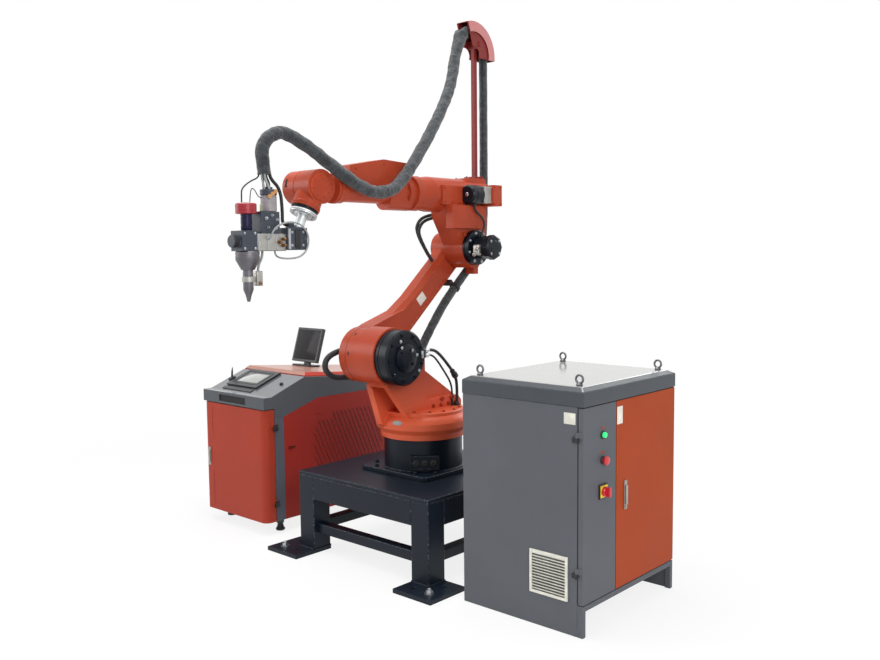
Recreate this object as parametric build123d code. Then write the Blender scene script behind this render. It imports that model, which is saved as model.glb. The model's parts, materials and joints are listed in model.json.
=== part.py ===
from build123d import *
import os
from math import atan2, cos, degrees, radians, sin, sqrt, tan

os.makedirs("parts", exist_ok=True)

# A robot cell: six-axis robot with a laser head on a steel table, a laser cabinet and a control cabinet.
# Millimetres. The origin is on the floor under the robot's first axis. The robot faces -Y, the control
# cabinet stands on its +X side and the laser cabinet on its -X side, and +Z is up.

# Running gaps and seats
seat_gap = 0.3
door_gap = 5.0

# Table
table_side = 1000.0
table_height = 460.0
table_plate = 20.0
leg_side = 120.0
beam_depth = 130.0
beam_width = 100.0
stretcher_low = 112.0
stretcher_height = 55.0
stretcher_width = 60.0
foot_side = 255.0
foot_plate = 22.0
foot_overhang = 133.0
anchor_inset = 71.0
anchor_pitch = 110.0
anchor_hole_radius = 11.0
anchor_radius = 9.0
anchor_washer_radius = 20.0
anchor_washer = 4.0
anchor_nut = 16.0
anchor_nut_flats = 30.0
anchor_stud = 50.0

# Robot base and turntable
base_flange_side = 508.0
base_flange = 25.0
base_radius = 222.0
base_top = 660.0
connector_width = 160.0
connector_height = 80.0
connector_depth = 18.0
rim_radius = 240.0
bulge_radius = 265.0
neck_radius = 232.0
deck_steps = (30.0, 42.0, 58.0, 92.0, 112.0, 126.0, 130.0, 146.0)
deck_height = 152.0

# Shoulder and lower arm
shoulder_forward = 325.0
shoulder_height = 1130.0
web_left = -45.0
web_right = 100.0
shoulder_radius = 158.0
shoulder_motor_radius = 147.0
shoulder_motor_length = 98.0
arm_length = 879.0
arm_lean = 48.8
shoulder_y = -shoulder_forward
elbow_y = shoulder_y + arm_length * sin(radians(arm_lean))
elbow_z = shoulder_height + arm_length * cos(radians(arm_lean))
arm_thickness = 110.0
arm_boss_radius = 152.0
arm_boss_thickness = 125.0
arm_rear = 97.0
arm_front = 42.0
elbow_boss_radius = 92.0
arm_chamfer = 24.0

# Elbow and forearm
forearm_rise = 300.0
forearm_z = elbow_z + forearm_rise
housing_radius = 98.0
housing_front = elbow_y - 441.4
housing_rear = elbow_y + 163.6
neck_ring_radius = 80.0
elbow_right = 100.0
elbow_radius = 100.0
elbow_motor_radius = 100.0
elbow_flange = 40.0
elbow_motor_length = 115.0
elbow_can_radius = 68.0
roll_motor_radius = 55.0
roll_motor_front = elbow_y - 101.4
roll_motor_length = 95.0
roll_block_length = 70.0
forearm_radius = 66.0
forearm_end = housing_front - 545.0
wrist_y = housing_front - 670.0
wrist_radius = 85.0
wrist_left = -130.0
wrist_split = -45.0
wrist_right = 70.0
tool_tilt = 25.0

# Tool
hand_radius = 70.0
hand_length = 118.0
tool_ring_radius = 62.0
tool_ring = 18.0
tool_flange_radius = 76.0
tool_flange = 12.0
tool_shaft_radius = 25.0

# Hose package
hose_radius = 32.0
rear_hose_radius = 25.0
hose_x = -14.0
post_side = 25.0
post_y = elbow_y + 133.6
post_rise = 906.0

# Control cabinet
cab_left = 713.0
cab_right = 1392.0
cab_front = -478.0
cab_back = 329.0
cab_height = 1100.0
cab_body_bottom = 117.0
cab_wall = 15.0
cab_lid_low = cab_height - 84.0
cab_lid_edge = cab_height - 31.0
cab_lid_overhang = 3.0
cab_lid_bevel = 18.0
cab_door = 25.0
cab_split = -211.0
cab_rail = 25.0
cab_foot_return = 24.0

# Laser cabinet
laser_left = -1450.0
laser_right = -825.0
laser_front = -494.0
laser_back = 706.0
laser_bottom = 77.0
laser_wall = 12.0
laser_door_top = 758.0
laser_door_depth = 75.0
laser_front_top = 836.0
laser_slope_start = -409.0
laser_peak_y = -182.0
laser_peak = 932.0
laser_back_top = 850.0
laser_corner = 45.0
lid_inset = 7.0
lid_height = 26.0
lid_chamfer = 20.0


def box(x, y, z):
    """A block from its low and high X, Y and Z."""
    middle = Pos((x[0] + x[1]) / 2, (y[0] + y[1]) / 2, (z[0] + z[1]) / 2)
    return middle * Box(x[1] - x[0], y[1] - y[0], z[1] - z[0])


def side_plate(points, x):
    """A plate with its outline in Y and Z, between two values of X."""
    outline = make_face(Polyline(*points, close=True))
    return extrude(Plane.YZ.offset(x[0]) * outline, amount=x[1] - x[0])


def rod(start, end, radius):
    """A round bar between two points."""
    way = Vector(*end) - Vector(*start)
    return extrude(Plane(origin=start, z_dir=way) * Circle(radius), amount=way.length)


def drum_x(y, z, radius, x):
    return rod((x[0], y, z), (x[1], y, z), radius)


def drum_y(x, z, radius, y):
    return rod((x, y[0], z), (x, y[1], z), radius)


def drum_z(x, y, radius, z):
    return rod((x, y, z[0]), (x, y, z[1]), radius)


def hose(points, radius):
    """A round hose along straight runs joined by arcs as large as the runs allow."""
    vectors = [Vector(*p) for p in points]
    radii = []
    for before, here, after in zip(vectors, vectors[1:], vectors[2:]):
        turn = (here - before).get_angle(after - here)
        shorter = min((here - before).length, (after - here).length)
        radii.append(0.45 * shorter / tan(radians(turn / 2)))
    print("hose radii", [round(r) for r in radii])
    path = FilletPolyline(*points, radius=radii)
    start = Plane(origin=points[0], z_dir=vectors[1] - vectors[0])
    return sweep(start * Circle(radius), path=path)


def four_corners(solid):
    """Copies of a solid in the +X -Y corner, mirrored to all four corners of the table."""
    right = [solid, mirror(solid, about=Plane.XZ)]
    left = [mirror(s, about=Plane.YZ) for s in right]
    return right + left


# Table: plate, four legs, beams between the legs, low stretchers, foot plates and anchor bolts
half = table_side / 2
leg_inner = half - leg_side
plate_low = table_height - table_plate
foot_outer = half + foot_overhang
anchor_outer = foot_outer - anchor_inset
anchor_inner = anchor_outer - anchor_pitch


def table_top():
    return [box((-half, half), (-half, half), (plate_low, table_height))]


def table_legs():
    return four_corners(box((leg_inner, half), (-half, -leg_inner), (foot_plate, plate_low)))


def ring_of_bars(width, low, high):
    """Four bars between the legs, flush with the legs' outer faces at the given width."""
    bar = box((-leg_inner, leg_inner), (-half, -half + width), (low, high))
    return [Rot(Z=90 * turn) * bar for turn in range(4)]


def table_beams():
    return ring_of_bars(beam_width, plate_low - beam_depth, plate_low)


def table_stretchers():
    inset = (leg_side - stretcher_width) / 2
    bars = ring_of_bars(stretcher_width, stretcher_low, stretcher_low + stretcher_height)
    return [Rot(Z=90 * turn) * Pos(0, inset, 0) * Rot(Z=-90 * turn) * bar for turn, bar in enumerate(bars)]


def foot_plates():
    low = foot_outer - foot_side
    plate = box((low, foot_outer), (-foot_outer, -low), (0, foot_plate))
    for x, y in (
        (anchor_outer, anchor_outer),
        (anchor_outer, anchor_inner),
        (anchor_inner, anchor_outer),
    ):
        plate -= drum_z(x, -y, anchor_hole_radius, (-1, foot_plate + 1))
    return four_corners(plate)


def anchor_bolts():
    place = Pos(anchor_outer, -anchor_outer, foot_plate)
    washer = place * drum_z(0, 0, anchor_washer_radius, (0, anchor_washer))
    nut = extrude(RegularPolygon(anchor_nut_flats / 2, 6, major_radius=False), amount=anchor_nut)
    nut = place * Pos(0, 0, anchor_washer) * nut
    stud = place * drum_z(0, 0, anchor_radius, (-foot_plate + 1, anchor_stud))
    return four_corners(washer + nut + stud)


# Robot base
def robot_base():
    side = base_flange_side
    flange = box((-side / 2, side / 2), (-side / 2, side / 2), (table_height, table_height + base_flange))
    flange = fillet(flange.edges().filter_by(Axis.Z), 30)
    barrel = drum_z(0, 0, base_radius, (table_height, base_top))
    return [flange + barrel]


def connector_panel():
    low = table_height + base_flange + 12
    panel = box(
        (base_radius - 15, base_radius + connector_depth),
        (-connector_width / 2, connector_width / 2),
        (low, low + connector_height),
    )
    panel -= drum_z(0, 0, base_radius + seat_gap, (low - 1, low + connector_height + 1))
    return [Rot(Z=-45) * panel]


# Turntable: a turned deck with the shoulder web on it
deck_low = base_top + seat_gap
deck_top = deck_low + deck_height
shoulder = Pos(0, shoulder_y, shoulder_height)
gusset_end = 205.0
web_slope = ((shoulder_y + 150, shoulder_height - 20), (gusset_end, 858.0))
gusset_right = 68.0
crease_y = -85.0
web_root = deck_low + 60
ledge_top = 868.0
pocket_top = 965.0
pocket_skin = 5.0
pocket_wall = 38.0
strut_width = 38.0


def turntable_deck():
    low, swell, full, fall, waist, groove, step, edge = (deck_low + s for s in deck_steps)
    profile = [
        (0, deck_low),
        (rim_radius, deck_low),
        (rim_radius, low),
        (rim_radius + 12, swell),
        (bulge_radius, full),
        (bulge_radius, fall),
        (bulge_radius - 10, waist),
        (rim_radius, groove),
        (neck_radius, step),
        (neck_radius, edge),
        (neck_radius - 8, deck_top),
        (0, deck_top),
    ]
    return revolve(Plane.XZ * make_face(Polyline(*profile, close=True)), axis=Axis.Z)


def turntable():
    """The deck, with the shoulder web, its front strut and pocket, and the gusset and ledge behind it."""
    web = side_plate(
        [
            (-130, web_root),
            (-144, 690),
            (shoulder_y - 60, 985),
            (shoulder_y - 112, 1020),
            (shoulder_y, shoulder_height),
            (crease_y, shoulder_height - 20),
            (crease_y, web_root),
        ],
        (web_left, web_right),
    )
    ring = drum_x(shoulder_y, shoulder_height, shoulder_radius, (web_left, web_right))
    gusset = side_plate(
        [(crease_y - 60, web_root), (shoulder_y, shoulder_height), *web_slope, (gusset_end, web_root)],
        (web_left, gusset_right),
    )
    ledge = side_plate(
        [
            (crease_y - 5, web_root),
            (crease_y - 5, ledge_top),
            (188, ledge_top),
            (218, deck_top + 24),
            (218, web_root),
        ],
        (web_left - 20, web_right),
    )
    pocket = side_plate(
        [(-500, deck_top), (-500, pocket_top), (shoulder_y + 40, pocket_top), (-105, deck_top)],
        (web_left + pocket_skin, web_right - pocket_wall),
    )
    strut = side_plate(
        [(-150, web_root), (-150, pocket_top + 5), (-362, pocket_top + 5), (-285, 745), (-250, 720)],
        (web_left - strut_width, web_left + pocket_skin),
    )
    return [turntable_deck() + (web + ring + gusset + ledge - pocket) + strut]


def shoulder_motor():
    face = web_right
    flange = drum_x(shoulder_y, shoulder_height, shoulder_motor_radius, (face, face + shoulder_motor_length))
    return [chamfer(flange.edges().sort_by(Axis.X)[-1:], 12)]


# Lower arm, drawn upright over the shoulder and then leaned back
arm_right = web_left - seat_gap
arm_frame = shoulder * Rot(X=-arm_lean)


def lower_arm():
    boss = drum_x(0, 0, arm_boss_radius, (arm_right - arm_boss_thickness, arm_right))
    blade = side_plate(
        [
            (-arm_boss_radius + 4, 0),
            (-arm_boss_radius + 30, 110),
            (-arm_front - 16, 260),
            (-arm_front, 420),
            (-arm_front, arm_length - 140),
            (-arm_front - 30, arm_length),
            (arm_rear, arm_length),
            (arm_rear, 150),
            (arm_boss_radius - 4, 0),
        ],
        (arm_right - arm_thickness, arm_right),
    )
    front = blade.edges().filter_by(lambda e: e.center().Y < -arm_front + 1 and e.center().Z > 200)
    blade = chamfer(front.filter_by(Axis.X, reverse=True), arm_chamfer)
    head = drum_x(0, arm_length, elbow_boss_radius, (arm_right - arm_thickness, arm_right))
    return [arm_frame * (boss + blade + head)]


# Elbow: casting round the elbow axis, with the forearm's rear housing on top
roll_x = 140.0
roll_motor_rear = roll_motor_front + roll_motor_length
gearbox_front = roll_motor_rear + roll_block_length
elbow_low = arm_right + seat_gap
post_top = forearm_z + post_rise
pillar_low = elbow_z - 115.0
lug_x = (20.0, 82.0)
lug_drop = 38.0
flange_radius = 96.0
flange_length = 60.0
barrel_neck_radius = 88.0
cone_end = housing_front + 145.0
pad_right = 106.0
pad_y = (elbow_y - 266.4, elbow_y + 58.6)
pad_z = (forearm_z - 59.0, forearm_z + 47.0)
cover_half = 60.0
cover_top = forearm_z + 104.0


def motor_pad():
    return box((0, pad_right), pad_y, pad_z)


def elbow_housing():
    """The pillar round the elbow axis and, on top, the barrel that holds the forearm's bearing."""
    top = forearm_z - 60
    pillar = side_plate(
        [
            (elbow_y - 210, top),
            (elbow_y - 196, forearm_z - 125),
            (elbow_y - 20, pillar_low),
            (elbow_y + 42, pillar_low),
            (elbow_y + 96, elbow_z - 50),
            (elbow_y + 120, elbow_z + 115),
            (elbow_y + 120, top),
        ],
        (elbow_low, elbow_right),
    )
    hub = drum_x(elbow_y, elbow_z, elbow_radius, (elbow_low, elbow_right))
    lug = box(lug_x, (elbow_y + 24, elbow_y + 62), (pillar_low - lug_drop, pillar_low + 1))
    block = box((elbow_right - 20, elbow_right + 30), (elbow_y - 215, elbow_y + 65), (elbow_z + 110, top))
    barrel = drum_y(0, forearm_z, housing_radius, (cone_end, housing_rear))
    narrow = Plane(origin=(0, housing_front + flange_length, forearm_z), z_dir=(0, 1, 0))
    wide = Plane(origin=(0, cone_end + 1, forearm_z), z_dir=(0, 1, 0))
    cone = loft([narrow * Circle(barrel_neck_radius), wide * Circle(housing_radius)])
    flange = drum_y(0, forearm_z, flange_radius, (housing_front, housing_front + flange_length))
    cover = box((-cover_half, cover_half), (elbow_y + 4, housing_rear), (forearm_z, cover_top))
    gearbox = box((60, roll_x + 62), (gearbox_front, gearbox_front + 75), (forearm_z - 62, forearm_z + 58))
    return [pillar + hub + lug + block + barrel + cone + flange + motor_pad() + cover + gearbox]


def elbow_motor():
    start = elbow_right
    middle = start + elbow_flange
    end = middle + elbow_motor_length
    flange = drum_x(elbow_y, elbow_z, elbow_motor_radius, (start, middle))
    motor = drum_x(elbow_y + 6, elbow_z, elbow_can_radius, (middle, end))
    return [flange + motor]


def roll_motor():
    motor = drum_y(roll_x, forearm_z, roll_motor_radius, (roll_motor_front, roll_motor_rear))
    return [motor - drum_y(0, forearm_z, housing_radius, (0, housing_rear)) - motor_pad()]


def roll_motor_block():
    half_side = 48
    return [
        box(
            (roll_x - half_side, roll_x + half_side),
            (roll_motor_rear, gearbox_front),
            (forearm_z - half_side, forearm_z + half_side),
        )
        - drum_y(0, forearm_z, housing_radius, (0, housing_rear))
        - motor_pad()
    ]


# Forearm, which rolls about its own axis, with the hump of its cover
roll_face = housing_front - seat_gap


def forearm():
    tube = drum_y(0, forearm_z, forearm_radius, (forearm_end, roll_face))
    collar = drum_y(0, forearm_z, neck_ring_radius, (roll_face - 50, roll_face))
    cover = side_plate(
        [
            (roll_face - 30, forearm_z + 20),
            (roll_face - 30, forearm_z + 152),
            (roll_face - 235, forearm_z + 162),
            (roll_face - 475, forearm_z + 118),
            (roll_face - 495, forearm_z + 20),
        ],
        (-62, 62),
    )
    belly = drum_y(0, forearm_z - 38, 60, (roll_face - 185, roll_face - 10))
    end_ring = drum_y(0, forearm_z, 74, (forearm_end, forearm_end + 50))
    cheek_x = (wrist_left, wrist_split - seat_gap)
    neck = box(cheek_x, (wrist_y, forearm_end + 30), (forearm_z - 60, forearm_z + 60))
    cheek = drum_x(wrist_y, forearm_z, wrist_radius, cheek_x)
    return [tube + collar + cover + belly + end_ring + neck + cheek]


# Hand, which tilts on the wrist, with its round flange along the tool's own axis
tool_way = Vector(0, -sin(radians(tool_tilt)), -cos(radians(tool_tilt)))
wrist_point = Vector(0, wrist_y, forearm_z)


def along_tool(distance):
    return wrist_point + tool_way * distance


def hand():
    drum = drum_x(wrist_y, forearm_z, wrist_radius, (wrist_split, wrist_right))
    barrel = rod(tuple(wrist_point), tuple(along_tool(hand_length)), hand_radius)
    barrel &= box((wrist_split, 200), (wrist_y - 400, wrist_y + 400), (forearm_z - 400, forearm_z + 200))
    return [drum + barrel]


def tool_ring_part():
    start = hand_length + seat_gap
    return [rod(tuple(along_tool(start)), tuple(along_tool(start + tool_ring)), tool_ring_radius)]


flange_start = hand_length + seat_gap + tool_ring
bracket_y = (wrist_y - 203, wrist_y - 84)
bracket_z = (forearm_z - 309.0, forearm_z - 203.0)
shaft_length = (forearm_z - bracket_z[1]) / cos(radians(tool_tilt))


def tool_flange_part():
    start = tuple(along_tool(flange_start))
    disc = rod(start, tuple(along_tool(flange_start + tool_flange)), tool_flange_radius)
    shaft = rod(start, tuple(along_tool(shaft_length + 40)), tool_shaft_radius)
    shaft -= box((-60, 60), (wrist_y - 425, wrist_y + 75), (bracket_z[0] - 200, bracket_z[1]))
    return [disc + shaft]


# Laser head: a bracket under the shaft carries the body, the optics, the camera and the nozzle
bracket_half = 55.0
bracket_block = ((-15.0, 15.0), (wrist_y - 162, wrist_y - 130), (bracket_z[1], bracket_z[1] + 30.0))
body_half = 42.0
body_front = wrist_y - 372
body_z = (forearm_z - 313.0, forearm_z - 232.0)
optics_half = 46.0
optics_front = wrist_y - 455
optics_top = forearm_z - 219.0
knob_radius = 38.0
knob_length = 32.0
knob_z = forearm_z - 268.0
camera_y = wrist_y - 399
camera_radius = 26.0
camera_length = 77.0
cap_radius = 49.0
cap_height = 53.0
block_half = 40.0
block_y = (wrist_y - 343, wrist_y - 237)
block_top = forearm_z - 129.0
collimator_y = wrist_y - 269
collimator_radius = 38.0
collimator_band_radius = 40.0
collimator_neck_radius = 20.0
collimator_band = (forearm_z - 49.0, forearm_z - 23.0)
collimator_top = forearm_z - 11.0
nozzle_y = wrist_y - 397
nozzle_tube_radius = 24.0
nozzle_outline = [
    (56.0, body_z[0]),
    (56.0, forearm_z - 354.0),
    (31.0, forearm_z - 400.0),
    (nozzle_tube_radius, forearm_z - 400.0),
    (nozzle_tube_radius, forearm_z - 493.0),
    (14.0, forearm_z - 519.0),
    (7.0, forearm_z - 550.0),
]
jet_half = 14.0
jet_y = (wrist_y - 357, wrist_y - 323)
jet_z = (forearm_z - 476.0, forearm_z - 406.0)
jet_arm = ((-8.0, 8.0), (wrist_y - 385, jet_y[0]), (forearm_z - 453.0, forearm_z - 433.0))
jet_pipe_radius = 6.0


def head_bracket():
    return [box((-bracket_half, bracket_half), bracket_y, bracket_z) + box(*bracket_block)]


def head_body():
    return [box((-body_half, body_half), (body_front, bracket_y[0]), body_z)]


def head_optics():
    body = box((-optics_half, optics_half), (optics_front, body_front), (body_z[0], optics_top))
    knob = drum_y(0, knob_z, knob_radius, (optics_front - knob_length, optics_front))
    block = box((-block_half, block_half), block_y, (body_z[1], block_top))
    return [body + knob, block]


def camera():
    return [drum_z(0, camera_y, camera_radius, (optics_top, optics_top + camera_length))]


cap_top = optics_top + camera_length + cap_height


def camera_cap():
    return [drum_z(0, camera_y, cap_radius, (cap_top - cap_height, cap_top))]


def collimator():
    barrel = drum_z(0, collimator_y, collimator_radius, (block_top, collimator_band[0]))
    band = drum_z(0, collimator_y, collimator_band_radius, collimator_band)
    neck = drum_z(0, collimator_y, collimator_neck_radius, (collimator_band[1], collimator_top))
    return [barrel + band + neck]


def nozzle():
    outline = [(0, nozzle_outline[0][1])] + nozzle_outline + [(0, nozzle_outline[-1][1])]
    return [Pos(0, nozzle_y, 0) * revolve(Plane.XZ * make_face(Polyline(*outline, close=True)), axis=Axis.Z)]


def gas_jet():
    block = box((-jet_half, jet_half), jet_y, jet_z)
    arm = box(*jet_arm) - drum_z(0, nozzle_y, nozzle_tube_radius + seat_gap, jet_z)
    middle = (jet_y[0] + jet_y[1]) / 2
    points = [
        (0, middle + 27, body_z[0] - seat_gap),
        (0, middle + 27, body_z[0] - 28),
        (0, middle, jet_z[1] + 25),
        (0, middle, jet_z[1]),
    ]
    return [block + arm + hose(points, jet_pipe_radius)]


# Hose arch: a channel open on its inner side, on top of the post
arch_y = elbow_y + 93.6
arch_z = forearm_z + 826.0
arch_radius = 185.0
arch_band = 60.0
arch_inner = 45.0
arch_half = 45.0
arch_step = 6.0
arch_wall = 4.0
arch_rounding = 7.0
arch_mouth = 109.0
arch_tail = 19.0
arch_link = 45.0
post_foot_half = 45.0
post_foot = 14.0


def hose_arch():
    band = drum_x(arch_y, arch_z, arch_radius, (-arch_half, arch_half))
    band = fillet(band.edges().filter_by(GeomType.CIRCLE), arch_rounding)
    band -= drum_x(arch_y, arch_z, arch_radius - arch_band, (-arch_half, arch_half))
    web_half = arch_half - arch_step
    web = drum_x(arch_y, arch_z, arch_radius - arch_band, (-web_half, web_half))
    web -= drum_x(arch_y, arch_z, arch_inner, (-web_half, web_half))
    trough_half = web_half - arch_wall
    trough = drum_x(arch_y, arch_z, arch_radius - arch_wall, (-trough_half, trough_half))
    reach = 2 * arch_radius
    mouth = radians(arch_mouth)
    sector = side_plate(
        [
            (arch_y, arch_z - arch_tail),
            (arch_y + reach, arch_z - arch_tail),
            (arch_y + reach, arch_z + reach),
            (arch_y + reach * cos(mouth), arch_z + reach * sin(mouth)),
            (arch_y, arch_z),
        ],
        (-arch_half, arch_half),
    )
    side = post_side / 2
    link = box((-web_half, web_half), (post_y - side, post_y + side), (post_top - arch_link, post_top))
    return ((band + web - trough) & sector) + link


def hose_post():
    side = post_side / 2
    foot_z = (cover_top, cover_top + post_foot)
    foot = box((-post_foot_half, post_foot_half), (post_y - post_foot_half, housing_rear), foot_z)
    post = box((-side, side), (post_y - side, post_y + side), (foot_z[0], post_top))
    return [foot + post + hose_arch(), rise_clamp()]


# Front run of the hose package, from the laser head up to the arch
sheath_y = wrist_y - 291
sheath_low = forearm_z + 46.0
rise_y = elbow_y + 218.6
rise_arc = 135.0
mouth_arc = 70.0
mouth_angle = radians(150.0)
top_point = (0.0, rise_y - rise_arc, arch_z + 2.0 + rise_arc)
mouth_y = top_point[1] + mouth_arc * cos(mouth_angle)
mouth_z = top_point[2] - mouth_arc + mouth_arc * sin(mouth_angle)


def before_mouth(distance):
    """A point on the hose's line into the arch, at a distance before its mouth."""
    return (0, mouth_y - distance * sin(mouth_angle), mouth_z + distance * cos(mouth_angle))


front_points = [
    (0, sheath_y, sheath_low),
    (0, sheath_y, forearm_z + 86),
    (0, wrist_y - 307, forearm_z + 169),
    (6, wrist_y - 255, forearm_z + 249),
    (24, wrist_y - 160, forearm_z + 281),
    (122, wrist_y + 210, forearm_z + 3),
    (134, elbow_y - 774.4, forearm_z - 25),
    (132, elbow_y - 626.4, forearm_z + 31),
    (40, elbow_y - 176.4, forearm_z + 571),
    before_mouth(110),
    before_mouth(seat_gap),
]


def hose_front():
    return [hose(front_points, hose_radius)]


# Rear run: over the arch, down behind the housing, along the lower arm and into the turntable
clamp_wall = 5.5
clamp_half = 20.0
rise_low = forearm_z + 15.0
arm_clamp_along = arm_length - 179.0
arm_clamp_rear = 150.0


def on_arm(rear, along, x=hose_x):
    """A point in the leaned arm's own measures: behind its centre line and along it."""
    lean = radians(arm_lean)
    return (
        x,
        shoulder_y + along * sin(lean) + rear * cos(lean),
        shoulder_height + along * cos(lean) - rear * sin(lean),
    )


def hose_rise():
    start = (0, rise_y, rise_low)
    side = (0, rise_y, top_point[2] - rise_arc)
    bend = sin(radians(45))
    over = (0, top_point[1] + rise_arc * bend, side[2] + rise_arc * bend)
    half_mouth = (radians(90) + mouth_angle) / 2
    into = (
        0,
        top_point[1] + mouth_arc * cos(half_mouth),
        top_point[2] - mouth_arc + mouth_arc * sin(half_mouth),
    )
    path = Line(start, side) + ThreePointArc(side, over, top_point)
    path += ThreePointArc(top_point, into, (0, mouth_y, mouth_z))
    print("hose radii", [rise_arc, mouth_arc])
    return [sweep(Plane(origin=start, z_dir=(0, 0, 1)) * Circle(rear_hose_radius), path=path)]


def clamp_ring(x, y, span):
    """The outside and the bore of a ring round the rear hose, along Z."""
    bore = rear_hose_radius + seat_gap
    return drum_z(x, y, bore + clamp_wall, span), drum_z(x, y, bore, (span[0] - 1, span[1] + 1))


def rise_clamp():
    span = (rise_low - clamp_half, rise_low + clamp_half)
    ring, bore = clamp_ring(0, rise_y, span)
    return ring + box((-clamp_half, clamp_half), (housing_rear, rise_y), span) - bore


def arm_clamp():
    span = (arm_clamp_along - clamp_half / 2, arm_clamp_along + clamp_half / 2)
    ring, bore = clamp_ring(hose_x, arm_clamp_rear, span)
    foot = box((arm_right - arm_thickness / 2, hose_x), (arm_rear, arm_clamp_rear - clamp_half), span)
    return [arm_frame * (ring + foot - bore)]


back_points = [
    (0, rise_y, rise_low - seat_gap),
    (0, rise_y, elbow_z + 196),
    (hose_x, rise_y - 4, elbow_z + 3),
    on_arm(arm_clamp_rear, arm_clamp_along + 130),
    on_arm(arm_clamp_rear, arm_clamp_along + seat_gap),
]


def hose_back():
    return [hose(back_points, rear_hose_radius)]


# Where the rear hose enters the web, square to the web's sloping top
slope_run = web_slope[1][0] - web_slope[0][0]
slope_fall = web_slope[0][1] - web_slope[1][1]
slope_angle = atan2(slope_fall, slope_run)
gland_y = -60.0
gland_z = web_slope[0][1] - (gland_y - web_slope[0][0]) * slope_fall / slope_run
gland_height = 20.0


def above_gland(distance):
    return (hose_x, gland_y + distance * sin(slope_angle), gland_z + distance * cos(slope_angle))


arm_points = [
    on_arm(arm_clamp_rear, arm_clamp_along),
    on_arm(arm_clamp_rear, arm_clamp_along - 120),
    on_arm(180, arm_length * 0.45),
    above_gland(110),
    above_gland(seat_gap),
]


def hose_arm():
    return [hose(arm_points, rear_hose_radius)]


def hose_gland():
    bore = rear_hose_radius + seat_gap
    ring = rod(above_gland(0), above_gland(gland_height), bore + clamp_wall)
    return ring - rod(above_gland(-1), above_gland(gland_height + 1), bore)


# Cables and conduits with both ends held
loop_radius = 13.0
shoulder_cable_radius = 10.0
conduit_radius = 14.0
elbow_cable_radius = 6.0
thin_cable_radius = 4.0
side_hose_radius = 8.0
fibre_radius = 10.0


def arm_loop():
    left = arm_right - arm_boss_thickness
    steps = [
        (left, -47, 28),
        (left - 34, -47, 28),
        (left - 46, -125, 20),
        (left - 46, -200, -10),
        (left - 46, -215, -68),
        (left - 46, -155, -122),
        (left - 34, -51, -124),
        (left, -51, -124),
    ]
    points = [(x, shoulder_y + y, shoulder_height + z) for x, y, z in steps]
    return [hose(points, loop_radius)]


def shoulder_cable():
    plug = ((126, 170), (shoulder_y + 120, shoulder_y + 179), (shoulder_height - 18, shoulder_height + 38))
    middle = shoulder_height + 10
    drop = middle - deck_top
    points = [
        (148, plug[1][1], middle),
        (148, -40, middle),
        (142, 60, middle - 0.055 * drop),
        (132, 140, middle - 0.27 * drop),
        (126, 172, middle - 0.58 * drop),
        (124, 152, middle - 0.79 * drop),
        (124, 152, deck_top + seat_gap),
    ]
    block = box(*plug) - drum_x(shoulder_y, shoulder_height, shoulder_motor_radius + seat_gap, plug[0])
    return [hose(points, shoulder_cable_radius) + block, hose_gland()]


def elbow_conduit():
    along = arm_length - 154
    seat = on_arm(-arm_front - seat_gap, along, -100)
    above = on_arm(-arm_front - 190, along, -100)
    points = [
        (elbow_low, elbow_y - 160, forearm_z - 117),
        (elbow_low - 45, elbow_y - 160, forearm_z - 117),
        (-100, elbow_y - 240, forearm_z - 147),
        above,
        seat,
    ]
    return [hose(points, conduit_radius)]


def elbow_cable():
    points = [
        (roll_x, elbow_y - 36.4, forearm_z - roll_motor_radius - seat_gap),
        (roll_x, elbow_y - 36.4, forearm_z - 89),
        (roll_x + 10, elbow_y + 31.6, forearm_z - 129),
        (roll_x + 18, elbow_y + 35.6, forearm_z - 184),
        (roll_x + 20, elbow_y + 6, forearm_z - 211),
        (roll_x + 20, elbow_y + 6, elbow_z + elbow_can_radius + seat_gap),
    ]
    return [hose(points, elbow_cable_radius)]


def tool_cables():
    start = sheath_low - seat_gap
    to_cap = [
        (-10, sheath_y - 22, start),
        (-10, sheath_y - 22, start - 14),
        (-10, wrist_y - 365, forearm_z + 11),
        (-10, wrist_y - 413, forearm_z - 24),
        (-10, wrist_y - 415, forearm_z - 59),
        (-10, wrist_y - 415, cap_top + seat_gap),
    ]
    from_band = [
        (0, collimator_y - collimator_radius - seat_gap, forearm_z - 64),
        (0, wrist_y - 327, forearm_z - 64),
        (5, wrist_y - 353, forearm_z - 24),
        (12, wrist_y - 381, forearm_z - 24),
        (12, wrist_y - 385, cap_top + seat_gap),
    ]
    fibre = [
        (0, sheath_y + 6, start),
        (0, sheath_y + 6, start - 16),
        (0, collimator_y, collimator_top + 20),
        (0, collimator_y, collimator_top + seat_gap),
    ]
    block_z = (bracket_block[2][0] + bracket_block[2][1]) / 2
    beside = [
        (14, sheath_y + 21, start),
        (14, sheath_y + 21, start - 16),
        (14, wrist_y - 209, forearm_z - 19),
        (8, wrist_y - 195, forearm_z - 129),
        (0, wrist_y - 192, block_z),
        (0, bracket_block[1][0] - seat_gap, block_z),
    ]
    loop = [
        (body_half + seat_gap, wrist_y - 310, forearm_z - 259),
        (body_half + 20, wrist_y - 310, forearm_z - 259),
        (60, wrist_y - 270, forearm_z - 209),
        (68, wrist_y - 175, forearm_z - 183),
        (68, wrist_y - 85, forearm_z - 197),
        (68, wrist_y - 25, forearm_z - 247),
        (68, wrist_y - 29, forearm_z - 303),
        (68, wrist_y - 90, forearm_z - 345),
        (62, wrist_y - 175, forearm_z - 355),
        (24, wrist_y - 235, forearm_z - 347),
        (20, wrist_y - 255, forearm_z - 333),
        (20, wrist_y - 255, body_z[0] - seat_gap),
    ]
    wires = [hose(points, thin_cable_radius) for points in (to_cap, from_band, loop)]
    return wires + [hose(fibre, fibre_radius), hose(beside, side_hose_radius)]


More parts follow.
